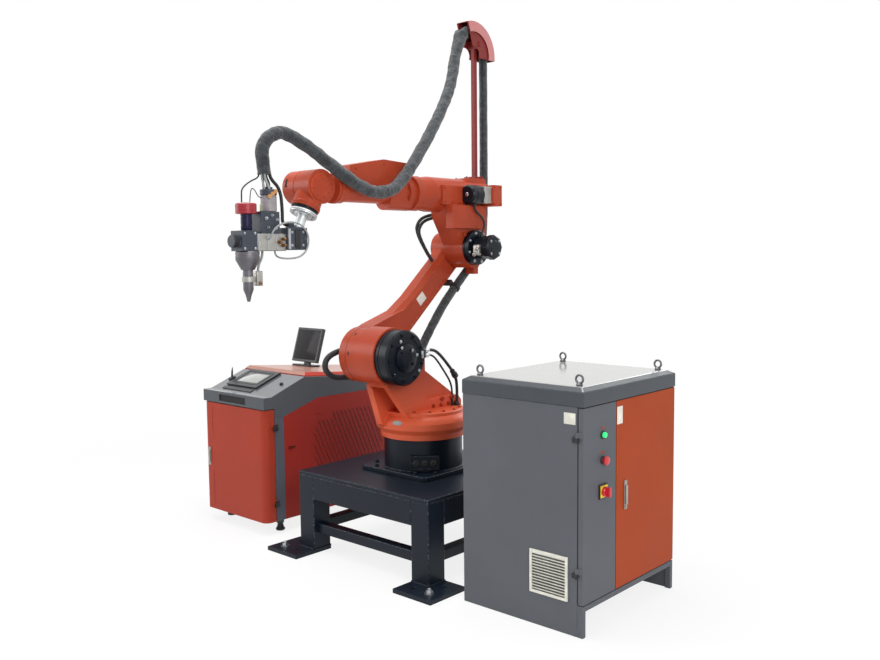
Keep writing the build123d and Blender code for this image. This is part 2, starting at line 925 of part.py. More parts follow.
# Control cabinet
wall_front = cab_right - cab_door - door_gap
door_low = cab_body_bottom + cab_rail + door_gap
door_high = cab_lid_low - door_gap


def cabinet_walls():
    low_wall = box((cab_left, wall_front), (cab_front, cab_front + cab_wall), (0, cab_lid_low))
    high_wall = box((cab_left, wall_front), (cab_back - cab_wall, cab_back), (0, cab_lid_low))
    return [low_wall, high_wall]


def cabinet_frame():
    y = (cab_front + cab_wall, cab_back - cab_wall)
    back = box((cab_left, cab_left + cab_wall), y, (cab_body_bottom, cab_lid_low))
    floor = box((cab_left, wall_front), y, (cab_body_bottom, cab_body_bottom + cab_wall))
    rail = box((wall_front, cab_right), (cab_front, cab_back), (cab_body_bottom, cab_body_bottom + cab_rail))
    for low in (cab_front, cab_back - cab_foot_return):
        rail += box((wall_front, cab_right), (low, low + cab_foot_return), (0, cab_body_bottom))
    return [back + floor + rail]


def cabinet_lid():
    over = cab_lid_overhang
    y = (cab_front - over, cab_back + over)
    skirt = box((cab_left - over, cab_right + over), y, (cab_lid_low, cab_height))
    top_face = skirt.faces().sort_by(Axis.Z)[-1]
    lid = chamfer(top_face.edges(), cab_height - cab_lid_edge, cab_lid_bevel, reference=top_face)
    hollow = box(
        (cab_left + cab_wall, cab_right - cab_wall),
        (cab_front + cab_wall, cab_back - cab_wall),
        (cab_lid_low - 1, cab_lid_edge),
    )
    return [lid - hollow]


eye_inset = 60.0
eye_radius = 18.0
eye_wire = 5.0
eye_height = 28.0
eye_collar_radius = 14.0
eye_collar = 10.0


def lifting_eyes():
    eyes = []
    reach = 2 * eye_radius
    for x in (cab_left + eye_inset, cab_right - eye_inset):
        for y in (cab_front + eye_inset, cab_back - eye_inset):
            collar = drum_z(x, y, eye_collar_radius, (cab_height, cab_height + eye_collar))
            ring = Pos(x, y, cab_height + eye_height) * Rot(X=90) * Torus(eye_radius, eye_wire)
            ring -= box((x - reach, x + reach), (y - reach, y + reach), (cab_height - reach, cab_height))
            eyes.append(collar + ring)
    return eyes


grille_x = (1111.0, 1315.0)
grille_z = (150.0, 348.0)
grille_depth = 8.0
grille_rim = 14.0
louvres = 9
louvre_skin = 2.0
louvre_turn = 35.0


def air_grille():
    face = cab_front
    frame = box(grille_x, (face - grille_depth, face), grille_z)
    inner_x = (grille_x[0] + grille_rim, grille_x[1] - grille_rim)
    inner_z = (grille_z[0] + grille_rim, grille_z[1] - grille_rim)
    frame -= box(inner_x, (face - grille_depth - 1, face + 1), inner_z)
    pitch = (inner_z[1] - inner_z[0]) / louvres
    for row in range(louvres):
        z = inner_z[0] + pitch * (row + 0.5)
        slat = Pos((inner_x[0] + inner_x[1]) / 2, face - grille_depth / 2, z) * Rot(X=louvre_turn)
        frame += slat * Box(inner_x[1] - inner_x[0] + 2, louvre_skin, pitch * 0.54)
    return [frame]


def door_pan(y):
    rim = 18.0
    skin = 4.0
    outer = box((cab_right - cab_door, cab_right), y, (door_low, door_high))
    x = (cab_right - cab_door - 1, cab_right - skin)
    hollow = box(x, (y[0] + rim, y[1] - rim), (door_low + rim, door_high - rim))
    return outer - hollow


# Hinges: an outside barrel with a leaf on the fixed side and one on the door
hinge_radius = 7.0
hinge_half = 22.0
fixed_leaf = 26.0
door_leaf = 24.0


def hinge(x, y, z, fixed_way, door_way):
    """Fixed and moving halves. A way is the (x, y) step from the barrel to the end of its leaf."""
    halves = []
    for way, span in ((fixed_way, (z - hinge_half, z - seat_gap)), (door_way, (z, z + hinge_half))):
        barrel = drum_z(x, y, hinge_radius, span)
        low_x, high_x = sorted((x, x + way[0]))
        low_y, high_y = sorted((y, y + way[1]))
        plate = box((low_x, high_x), (low_y, high_y), span)
        halves.append(barrel + plate)
    return halves


cab_hinge_x = cab_right - cab_door - door_gap / 2
cab_hinge_heights = (door_low + 139.0, door_high - 127.0)
narrow_axis_y = cab_front - hinge_radius
wide_axis_y = cab_back + hinge_radius


def cabinet_hinge_halves(side, axis_y):
    """Hinges outside one side wall: side is -1 for the -Y wall and 1 for the +Y wall."""
    fixed = []
    moving = []
    for z in cab_hinge_heights:
        back = -side * hinge_radius
        a, b = hinge(cab_hinge_x, axis_y, z, (-fixed_leaf, back), (door_leaf, back))
        fixed.append(a)
        moving.append(b)
    return fixed, moving


narrow_fixed, narrow_moving = cabinet_hinge_halves(-1, narrow_axis_y)
wide_fixed, wide_moving = cabinet_hinge_halves(1, wide_axis_y)


def narrow_door():
    door = door_pan((cab_front, cab_split - door_gap / 2))
    for half_hinge in narrow_moving:
        door += half_hinge
    return [door]


def wide_door():
    door = door_pan((cab_split + door_gap / 2, cab_back))
    for half_hinge in wide_moving:
        door += half_hinge
    return [door]


control_y = -325.0
start_z = door_high - 133.0
stop_z = door_high - 246.0
switch_z = door_high - 385.0
button_radius = 12.5
ring_inner = button_radius + 0.5
ring_outer = 18.0
ring_depth = 8.0
button_travel = 4.0
button_gap = 1.0
start_reach = 20.0
stop_reach = 16.0
knob_outer = 20.0
knob_back = 14.0
knob_face = 30.0
switch_half = 32.0
switch_plate = 10.0
switch_hub_radius = 22.0
switch_hub = 12.0
switch_handle = 22.0
switch_handle_half = 8.0


def control_plates():
    plates = []
    for z in (start_z, stop_z):
        ring = drum_x(control_y, z, ring_outer, (cab_right, cab_right + ring_depth))
        plates.append(ring - drum_x(control_y, z, ring_inner, (cab_right - 1, cab_right + ring_depth + 1)))
    y = (control_y - switch_half, control_y + switch_half)
    z = (switch_z - switch_half, switch_z + switch_half)
    plates.append(box((cab_right, cab_right + switch_plate), y, z))
    return plates


def start_button():
    start = cab_right + button_travel + button_gap
    return [drum_x(control_y, start_z, button_radius, (start, cab_right + start_reach))]


def stop_button():
    start = cab_right + button_travel + button_gap
    stem = drum_x(control_y, stop_z, button_radius, (start, cab_right + stop_reach))
    head = drum_x(control_y, stop_z, knob_outer, (cab_right + knob_back, cab_right + knob_face))
    return [stem + head]


def rotary_switch():
    start = cab_right + switch_plate + seat_gap
    hub = drum_x(control_y, switch_z, switch_hub_radius, (start, start + switch_hub))
    handle = box(
        (start + switch_hub, start + switch_hub + switch_handle),
        (control_y - switch_handle_half, control_y + switch_handle_half),
        (switch_z - switch_hub_radius, switch_z + switch_hub_radius),
    )
    return [hub + handle]


latch_y = -133.5
latch_z = (door_high - 507.0, door_high - 373.0)
latch_half = 11.5
latch_plate = 6.0
latch_grip = 8.0
latch_grip_half = 7.5
latch_margin = 22.0


def wide_latch():
    face = cab_right + latch_plate
    plate = box((cab_right, face), (latch_y - latch_half, latch_y + latch_half), latch_z)
    grip = box(
        (face, face + latch_grip),
        (latch_y - latch_grip_half, latch_y + latch_grip_half),
        (latch_z[0] + latch_margin, latch_z[1] - latch_margin),
    )
    return [plate + grip]


# Laser cabinet
post_front = laser_front + laser_door_depth + door_gap
post_back = post_front + 67.0
post_width = 25.0
wall_top = 706.0
band_low = 790.0
band_start = -80.0


def laser_walls():
    walls = []
    for low in (laser_left, laser_right - laser_wall):
        outline = [
            (post_back, laser_bottom),
            (post_back, wall_top),
            (band_start, band_low),
            (laser_back - laser_wall, band_low),
            (laser_back - laser_wall, laser_bottom),
        ]
        walls.append(side_plate(outline, (low, low + laser_wall)))
    return walls


def laser_post():
    z = (laser_bottom, wall_top)
    return [
        box((laser_left, laser_left + post_width), (post_front, post_back), z),
        box((laser_right - post_width, laser_right), (post_front, post_back), z),
    ]


def laser_chassis():
    x = (laser_left + laser_wall, laser_right - laser_wall)
    back = box((laser_left, laser_right), (laser_back - laser_wall, laser_back), (laser_bottom, band_low))
    floor = box(x, (post_back, laser_back), (laser_bottom, laser_bottom + laser_wall))
    return [back + floor]


console_ledge = 25.0
console_reach = 50.0
recess_x = (-1279.0, -1009.0)
recess_z = (777.0, 818.0)
recess_depth = 8.0


def laser_console():
    outline = [
        (laser_front, laser_door_top + door_gap),
        (laser_front, laser_front_top),
        (laser_slope_start - console_ledge, laser_front_top),
        (laser_peak_y, laser_peak),
        (laser_back, laser_back_top),
        (laser_back, band_low),
        (band_start, band_low),
        (post_back, wall_top),
        (post_front, wall_top),
        (post_front, laser_door_top + door_gap),
    ]
    cavity = [
        (laser_front + laser_wall, laser_door_top),
        (laser_front + laser_wall, laser_front_top - laser_wall),
        (laser_slope_start - console_ledge + 2, laser_front_top - laser_wall),
        (laser_peak_y, laser_peak - laser_wall),
        (laser_peak_y, laser_peak + console_reach),
        (laser_back - laser_wall, laser_peak + console_reach),
        (laser_back - laser_wall, wall_top - console_reach),
        (post_front + laser_wall, wall_top - console_reach),
        (post_front + laser_wall, laser_door_top),
    ]
    shell = side_plate(outline, (laser_left, laser_right))
    shell -= side_plate(cavity, (laser_left + laser_wall, laser_right - laser_wall))
    recess = box(recess_x, (laser_front - 1, laser_front + recess_depth), recess_z)
    return [shell - recess]


def laser_top():
    """The raised lid behind the console, with its upper edges chamfered."""
    slope = (laser_back_top - laser_peak) / (laser_back - laser_peak_y)
    start = laser_peak_y + lid_inset
    end = laser_back - lid_inset
    outline = [
        (start, laser_peak + slope * lid_inset),
        (start, laser_peak + slope * lid_inset + lid_height),
        (end, laser_back_top - slope * lid_inset + lid_height),
        (end, laser_back_top - slope * lid_inset),
    ]
    lid = side_plate(outline, (laser_left + lid_inset, laser_right - lid_inset))
    top_face = lid.faces().sort_by(lambda face: face.normal_at().Z)[-1]
    return [chamfer(top_face.edges(), lid_chamfer)]


laser_hinge_heights = (187.0, 651.0)
laser_axis_x = laser_right + hinge_radius
laser_axis_y = laser_front + laser_door_depth + door_gap / 2


def laser_hinges():
    fixed = []
    moving = []
    for z in laser_hinge_heights:
        a, b = hinge(laser_axis_x, laser_axis_y, z, (-hinge_radius, door_leaf), (-hinge_radius, -fixed_leaf))
        fixed.append(a)
        moving.append(b)
    return fixed, moving


laser_fixed, laser_moving = laser_hinges()


laser_door_rim = 14.0


def laser_door():
    x = (laser_left, laser_right)
    y = (laser_front, laser_front + laser_door_depth)
    outer = box(x, y, (laser_bottom, laser_door_top))
    outer = fillet(outer.edges().filter_by(Axis.Z).group_by(Axis.Y)[0], laser_corner)
    rim = laser_door_rim
    inner = box(
        (x[0] + rim, x[1] - rim), (y[0] + rim, y[1] + 1), (laser_bottom + rim, laser_door_top - rim)
    )
    inner = fillet(inner.edges().filter_by(Axis.Z).group_by(Axis.Y)[0], laser_corner - rim)
    door = outer - inner
    for half_hinge in laser_moving:
        door += half_hinge
    return [door]


laser_latch_x = laser_left + 56.0
laser_latch_z = (356.0, 470.0)
laser_latch_half = 12.0
laser_latch_plate = 5.0
laser_grip = 7.0
laser_grip_margin = 16.0


def laser_latch():
    x = laser_latch_x
    face = laser_front - laser_latch_plate
    plate = box((x - laser_latch_half, x + laser_latch_half), (face, laser_front), laser_latch_z)
    grip = box(
        (x - laser_grip, x + laser_grip),
        (face - laser_grip, face),
        (laser_latch_z[0] + laser_grip_margin, laser_latch_z[1] - laser_grip_margin),
    )
    return [plate + grip]


def door_hinges():
    return narrow_fixed + wide_fixed + laser_fixed


foot_inset = 60.0
foot_stem = 10.0
foot_pad_radius = 28.0
foot_collar_radius = 20.0
foot_pad = 18.0


def laser_feet():
    feet = []
    for x in (laser_left + foot_inset, laser_right - foot_inset):
        for y in (post_back, laser_back - foot_inset):
            pad = drum_z(x, y, foot_pad_radius, (0, foot_pad))
            stem = drum_z(x, y, foot_stem, (foot_pad, laser_bottom))
            collar = drum_z(x, y, foot_collar_radius, (laser_bottom - foot_pad, laser_bottom))
            feet.append(pad + stem + collar)
    return feet


console_start = laser_slope_start - console_ledge
console_angle = degrees(atan2(laser_peak - laser_front_top, laser_peak_y - console_start))
console_frame = Pos(0, console_start, laser_front_top) * Rot(X=console_angle)
screen_x = (-1350.0, -1045.0)
screen_along = (55.0, 262.0)
screen_depth = 14.0


def touch_screen():
    return [console_frame * box(screen_x, screen_along, (0, screen_depth))]


pendant_x = -1311.0
pendant_y = 215.0
pendant_lean = 17.0


def top_height(y):
    slope = (laser_back_top - laser_peak) / (laser_back - laser_peak_y)
    return laser_peak + lid_height + slope * (y - laser_peak_y)


pendant_foot = ((-90.0, 90.0), (-35.0, 70.0), (0.0, 12.0))
pendant_panel = ((-128.0, 128.0), (-16.0, 16.0), (28.0, 263.0))
pendant_neck = ((-30.0, 30.0), (10.0, 30.0), (0.0, 120.0))
pendant_below = ((-200.0, 200.0), (-200.0, 200.0), (-100.0, 0.0))


def pendant():
    place = Pos(pendant_x, pendant_y, top_height(pendant_y))
    level = place * Rot(X=degrees(atan2(laser_back_top - laser_peak, laser_back - laser_peak_y)))
    lean = place * Rot(X=-pendant_lean)
    stand = level * box(*pendant_foot) + lean * (box(*pendant_panel) + box(*pendant_neck))
    return [stand - level * box(*pendant_below)]


parts = {
    "table_top": table_top(),
    "table_legs": table_legs(),
    "table_rails": table_beams() + table_stretchers(),
    "foot_plates": foot_plates(),
    "anchor_bolts": anchor_bolts(),
    "robot_base": robot_base(),
    "connector_panel": connector_panel(),
    "turntable": turntable(),
    "shoulder_motor": shoulder_motor(),
    "shoulder_cable": shoulder_cable(),
    "lower_arm": lower_arm(),
    "arm_loop": arm_loop(),
    "arm_clamp": arm_clamp(),
    "hose_arm": hose_arm(),
    "elbow_housing": elbow_housing(),
    "elbow_motor": elbow_motor(),
    "roll_motor": roll_motor(),
    "roll_motor_block": roll_motor_block(),
    "elbow_cable": elbow_cable(),
    "elbow_conduit": elbow_conduit(),
    "hose_post": hose_post(),
    "hose_rise": hose_rise(),
    "hose_back": hose_back(),
    "hose_front": hose_front(),
    "forearm": forearm(),
    "hand": hand(),
    "tool_ring": tool_ring_part(),
    "tool_flange": tool_flange_part(),
    "head_bracket": head_bracket(),
    "head_body": head_body(),
    "head_optics": head_optics(),
    "camera": camera(),
    "camera_cap": camera_cap(),
    "collimator": collimator(),
    "nozzle": nozzle(),
    "gas_jet": gas_jet(),
    "tool_cables": tool_cables(),
    "cabinet_walls": cabinet_walls(),
    "cabinet_frame": cabinet_frame(),
    "cabinet_lid": cabinet_lid(),
    "lifting_eyes": lifting_eyes(),
    "air_grille": air_grille(),
    "narrow_door": narrow_door(),
    "control_plates": control_plates(),
    "start_button": start_button(),
    "stop_button": stop_button(),
    "rotary_switch": rotary_switch(),
    "wide_door": wide_door(),
    "wide_latch": wide_latch(),
    "door_hinges": door_hinges(),
    "laser_walls": laser_walls(),
    "laser_post": laser_post(),
    "laser_chassis": laser_chassis(),
    "laser_console": laser_console(),
    "laser_top": laser_top(),
    "laser_door": laser_door(),
    "laser_latch": laser_latch(),
    "laser_feet": laser_feet(),
    "touch_screen": touch_screen(),
    "pendant": pendant(),
}

for name, solids in parts.items():
    export_step(Compound(children=list(solids)), f"parts/{name}.step")
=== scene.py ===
import json
from math import cos, pi, radians, sin

import bpy
from mathutils import Matrix, Vector, noise

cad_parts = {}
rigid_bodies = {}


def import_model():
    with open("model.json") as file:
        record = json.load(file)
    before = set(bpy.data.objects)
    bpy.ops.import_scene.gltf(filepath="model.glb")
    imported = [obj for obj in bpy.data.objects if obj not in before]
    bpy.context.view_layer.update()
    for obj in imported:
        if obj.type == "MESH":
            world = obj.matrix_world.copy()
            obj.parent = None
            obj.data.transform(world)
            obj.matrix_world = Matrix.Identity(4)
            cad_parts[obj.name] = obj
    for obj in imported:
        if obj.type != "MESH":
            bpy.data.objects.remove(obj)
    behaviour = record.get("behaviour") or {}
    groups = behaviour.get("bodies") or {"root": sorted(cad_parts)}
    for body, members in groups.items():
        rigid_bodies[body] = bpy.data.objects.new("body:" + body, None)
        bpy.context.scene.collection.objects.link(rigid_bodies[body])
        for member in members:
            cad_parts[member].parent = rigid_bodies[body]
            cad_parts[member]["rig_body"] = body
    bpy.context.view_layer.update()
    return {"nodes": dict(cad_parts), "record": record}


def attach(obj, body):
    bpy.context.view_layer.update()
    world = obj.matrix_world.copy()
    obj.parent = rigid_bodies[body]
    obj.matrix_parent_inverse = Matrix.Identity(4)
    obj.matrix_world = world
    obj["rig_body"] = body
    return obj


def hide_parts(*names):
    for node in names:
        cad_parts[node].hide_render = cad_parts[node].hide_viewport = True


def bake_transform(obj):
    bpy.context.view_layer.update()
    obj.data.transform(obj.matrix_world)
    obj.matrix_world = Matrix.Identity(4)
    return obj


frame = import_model()
X = Vector((1, 0, 0))
Y = Vector((0, 1, 0))
Z = Vector((0, 0, 1))


def srgb(red, green, blue):
    """A colour as a painter's chart gives it, 0 to 255, as the shader wants it."""
    return tuple(
        (v / 255 / 12.92) if v < 10.3 else ((v / 255 + 0.055) / 1.055) ** 2.4
        for v in (red, green, blue)
    )


# Camera
eye = Vector((3.496, -3.691, 1.675))
pitch = radians(4.822)
roll = radians(-0.537)
look = Vector((-0.6688 * cos(pitch), 0.7434 * cos(pitch), -sin(pitch))).normalized()
right = look.cross(Z).normalized()
up = right.cross(look)
right, up = right * cos(roll) + up * sin(roll), up * cos(roll) - right * sin(roll)
lens = bpy.data.cameras.new("camera_lens")
lens.lens = 36.95
lens.sensor_width = 36.0
lens.shift_x = -0.0058
lens.clip_end = 60.0
viewer = bpy.data.objects.new("camera_stand", lens)
bpy.context.scene.collection.objects.link(viewer)
turned_to = Matrix((right, up, -look)).transposed().to_4x4()
viewer.matrix_world = Matrix.Translation(eye) @ turned_to
bpy.context.scene.camera = viewer


# Shader maths
class Value:
    """A number inside a finish. Python maths on it adds Math nodes."""

    def __init__(self, finish, socket):
        self.finish = finish
        self.socket = socket

    def maths(self, operation, first, second, clamp=False):
        return self.finish.value("Math", {"operation": operation, "use_clamp": clamp}, {0: first, 1: second})

    def __add__(self, other):
        return self.maths("ADD", self, other)

    def __radd__(self, other):
        return self.maths("ADD", other, self)

    def __sub__(self, other):
        return self.maths("SUBTRACT", self, other)

    def __rsub__(self, other):
        return self.maths("SUBTRACT", other, self)

    def __mul__(self, other):
        return self.maths("MULTIPLY", self, other)

    def clamped(self):
        return self.maths("ADD", self, 0.0, clamp=True)

    def wave(self):
        return self.maths("SINE", self, 0.0)


class Finish:
    """One material and the calls that build its nodes."""

    def __init__(self, name, **constants):
        self.material = bpy.data.materials.new(name)
        self.material.use_nodes = True
        self.tree = self.material.node_tree
        self.shader = self.tree.nodes["Principled BSDF"]
        for label, value in constants.items():
            self.shader.inputs[label.replace("_", " ")].default_value = value
        self.place = self.node("TexCoord").outputs["Object"]

    def node(self, kind, settings=None, sockets=None):
        made = self.tree.nodes.new("ShaderNode" + kind)
        for name, value in (settings or {}).items():
            setattr(made, name, value)
        for key, value in (sockets or {}).items():
            self.join(value, made.inputs[key])
        return made

    def value(self, kind, settings=None, sockets=None, output=0):
        return Value(self, self.node(kind, settings, sockets).outputs[output])

    def join(self, value, socket):
        if isinstance(value, Value):
            value = value.socket
        if isinstance(value, bpy.types.NodeSocket):
            self.tree.links.new(value, socket)
        elif isinstance(value, tuple) and len(value) == 3 and socket.type == "RGBA":
            socket.default_value = (*value, 1.0)
        else:
            socket.default_value = value

    def drive(self, label, value):
        self.join(value, self.shader.inputs[label])

    def noise(self, scale, detail=2.0, rough=0.5, where=None):
        return self.value(
            "TexNoise",
            {},
            {"Vector": where or self.place, "Scale": scale, "Detail": detail, "Roughness": rough},
        )

    def stretched(self, scale, where=None):
        return self.node("Mapping", {}, {"Vector": where or self.place, "Scale": scale}).outputs[0]

    def between(self, low, high, value):
        return self.value("MapRange", {"clamp": True}, {"Value": value, "From Min": low, "From Max": high})

    def mix(self, mask, first, second):
        return self.node("Mix", {"data_type": "RGBA"}, {0: mask, 6: first, 7: second}).outputs[2]

    def attribute(self, name, output="Fac"):
        return self.node("Attribute", {"attribute_name": name}).outputs[output]

    def axis(self, number, where=None):
        return self.value("SeparateXYZ", {}, {0: where or self.place}, number)

    def bump(self, height, depth, strength=1.0, under=None):
        sockets = {"Height": height, "Distance": depth, "Strength": strength}
        if under is not None:
            sockets["Normal"] = under
        made = self.node("Bump", {}, sockets).outputs[0]
        self.drive("Normal", made)
        return made


def scaled(tone, by):
    return tuple(min(v * by, 1.0) for v in tone)


def cast_paint(name, tone, rough=0.36, worn_and_highlight_tone=None, cast=0.0006, coat=0.12, lit=None, low=None):
    """Semi-gloss paint on a casting: soft unevenness, orange peel and dust in the tone, with scuffed edges in
    a lighter tone that is partly wear and partly a painted edge highlight.

    Faces marked for a painted highlight take the lit tone and more gloss. A lighter tone called low is
    painted bounce light from the floor: it shows near the floor of the robot, below about 0.84 m, and fades
    out by 1 m.
    """
    f = Finish(name, Coat_Roughness=0.25, Specular_IOR_Level=0.16)
    cloud = f.noise(4.0, 5.0, 0.6)
    peel = f.noise(420.0, 2.0)
    lumps = f.noise(38.0, 3.0)
    # scuffed edges: partly wear, partly a painted edge highlight
    worn_and_highlit_edges = Value(f, f.attribute("edge")) * f.between(0.52, 0.66, f.noise(70.0, 6.0, 0.7))
    specks = f.between(0.70, 0.74, f.noise(150.0, 4.0, 0.7))
    base = f.mix(f.between(0.25, 0.75, cloud), scaled(tone, 0.86), scaled(tone, 1.10))
    # painted bounce light: the lighter low tone below about 0.84 m
    if low is not None:
        base = f.mix(f.between(0.84, 1.00, f.axis(2)), low, base)
    base = f.mix(worn_and_highlit_edges * 0.75, base, worn_and_highlight_tone or scaled(tone, 1.7))
    base = f.mix(specks * 0.35, base, scaled(tone, 0.55))
    # painted highlight on the faces marked for it
    painted_light = Value(f, f.attribute("painted_light"))
    if lit is not None:
        base = f.mix(painted_light, base, lit)
    f.drive("Base Color", base)
    f.drive("Roughness", rough + (cloud - 0.5) * 0.16 + (peel - 0.5) * 0.10 + worn_and_highlit_edges * 0.12)
    f.drive("Coat Weight", (coat - specks * coat) + painted_light * 0.8)
    soft = f.bump(lumps, cast, 0.6)
    f.bump(peel, 0.00012, 0.5, soft)
    return f.material


def powder_coat(name, tone, rough=0.5, lit=None, gloss=1.0):
    """Powder coat on sheet: a pebbled grain, oil-canning, hand marks. Faces marked for a painted highlight
    take the lit tone.
    """
    f = Finish(name, Specular_IOR_Level=0.2, Coat_Roughness=0.12)
    cloud = f.noise(2.2, 3.0)
    pebble = f.value(
        "TexVoronoi", {"feature": "SMOOTH_F1"}, {"Vector": f.place, "Scale": 1500.0, "Smoothness": 0.6}
    )
    marks = f.noise(9.0, 6.0, 0.65)
    edge = Value(f, f.attribute("edge"))
    base = f.mix(f.between(0.3, 0.7, cloud), scaled(tone, 0.93), scaled(tone, 1.06))
    base = f.mix(edge * f.between(0.45, 0.7, f.noise(45.0, 5.0, 0.7)) * 0.5, base, scaled(tone, 1.5))
    # painted highlight on the faces marked for it, with a coat
    if lit is not None:
        painted_light = Value(f, f.attribute("painted_light"))
        base = f.mix(painted_light, base, lit)
        f.drive("Coat Weight", painted_light * gloss)
    f.drive("Base Color", base)
    f.drive("Roughness", rough + (marks - 0.5) * 0.18)
    canning = f.bump(f.noise(5.0, 1.0), 0.0012, 0.35)
    f.bump(pebble, 0.00014, 0.6, canning)
    return f.material


def turned_metal(name, tone, rough=0.28, stretch=(6.0, 260.0, 260.0)):
    """Bare metal with fine tool lines, smudges in the gloss and darker marks."""
    f = Finish(name, Metallic=1.0)
    lines = f.noise(1.0, 4.0, 0.6, f.stretched(stretch))
    smudge = f.noise(24.0, 5.0, 0.6)
    f.drive("Base Color", f.mix(f.between(0.3, 0.8, smudge), tone, scaled(tone, 0.72)))
    f.drive("Roughness", rough + (lines - 0.5) * 0.22 + (smudge - 0.5) * 0.12)
    f.bump(lines, 0.00006, 0.6)
    return f.material


def moulded(name, tone, rough=0.42, grain=700.0, coat=0.0):
    """Moulded plastic or rubber with a fine grain and scuffs."""
    f = Finish(name, Coat_Weight=coat, Coat_Roughness=0.12)
    fine = f.noise(grain, 2.0)
    scuff = f.noise(30.0, 6.0, 0.7)
    f.drive("Base Color", f.mix(f.between(0.45, 0.8, scuff), tone, scaled(tone, 1.35)))
    f.drive("Roughness", rough + (scuff - 0.5) * 0.16)
    f.bump(fine, 0.00008, 0.5)
    return f.material


def woven_sheath(name, tone):
    """Woven fabric sleeve: threads in the sleeve's own straightened space, creases with painted shade in
    their hollows and a painted highlight on their ridges, a darker closing seam.
    """
    f = Finish(name, Sheen_Weight=0.35, Sheen_Roughness=0.5, Specular_IOR_Level=0.25)
    laid = f.attribute("laid", "Vector")
    along = f.axis(2, laid)
    turn = f.value("Math", {"operation": "ARCTAN2"}, {0: f.axis(1, laid), 1: f.axis(0, laid)})
    warp = (turn * 64.0).wave()
    weft = (along * 2100.0).wave()
    weave = warp * weft
    creases = f.noise(1.0, 5.0, 0.68, f.stretched((26.0, 26.0, 34.0), laid))
    blotch = f.noise(1.0, 4.0, 0.6, f.stretched((40.0, 40.0, 16.0), laid))
    lap = turn * turn + (blotch - 0.5) * 2.6
    seam = f.between(2.3, 2.7, lap) - f.between(3.7, 4.1, lap)
    # painted shade and highlight: darker in the crease hollows, lighter on the ridges
    base = f.mix(f.between(0.32, 0.66, creases), scaled(tone, 0.36), scaled(tone, 1.6))
    base = f.mix((weave * 0.5 + 0.5) * 0.35, base, scaled(tone, 0.55))
    base = f.mix(seam * 0.85, base, scaled(tone, 0.16))
    f.drive("Base Color", base)
    f.drive("Roughness", 0.62 + blotch * 0.2)
    folds = f.bump(creases, 0.016, 1.0)
    f.bump(weave, 0.0005, 0.5, folds)
    return f.material


def striped_cable(name, tone):
    """Black rubber or corrugated conduit, ringed along its length."""
    f = Finish(name, Specular_IOR_Level=0.5)
    laid = f.attribute("laid", "Vector")
    rings = (f.axis(2, laid) * 1050.0).wave()
    scuff = f.noise(60.0, 4.0, 0.6, laid)
    f.drive("Base Color", f.mix(f.between(0.4, 0.8, scuff), tone, scaled(tone, 2.2)))
    f.drive("Roughness", 0.45 + scuff * 0.2)
    f.bump(rings, 0.0008, 0.5)
    return f.material


def lit_button(name, tone, glow):
    """A lit lens: brighter at its middle, with fine moulded facets."""
    f = Finish(name, Coat_Weight=0.6, Coat_Roughness=0.08, Emission_Strength=glow)
    facets = f.value("TexVoronoi", {}, {"Vector": f.place, "Scale": 520.0})
    f.drive("Base Color", f.mix(facets, tone, scaled(tone, 0.5)))
    f.drive("Emission Color", f.mix(f.between(0.0, 0.9, facets), scaled(tone, 1.4), tone))
    f.drive("Roughness", 0.18 + facets * 0.15)
    f.bump(facets, 0.0004, 0.6)
    return f.material


def glass_screen(name, dark, painted_light, low, high, coat=1.0):
    """A screen under glass: a painted reflection, a paler tone on one side of a slanted line between the
    heights low and high, and fingerprints in the gloss.
    """
    f = Finish(name, Coat_Weight=coat, Coat_Roughness=0.04, Specular_IOR_Level=0.4 * coat + 0.08)
    # painted reflection: a diagonal band where the screen's colour turns paler
    slope = f.axis(2) * 0.9 - f.axis(0) * 0.8
    painted_sheen = f.between(low, high, slope)
    prints = f.noise(26.0, 5.0, 0.65)
    f.drive("Base Color", f.mix(painted_sheen, f.mix(f.between(0.4, 0.7, prints), dark, scaled(dark, 1.18)), painted_light))
    f.drive("Roughness", 0.12 + f.between(0.5, 0.7, prints) * 0.14)
    f.bump(prints, 0.00002, 0.3)
    return f.material


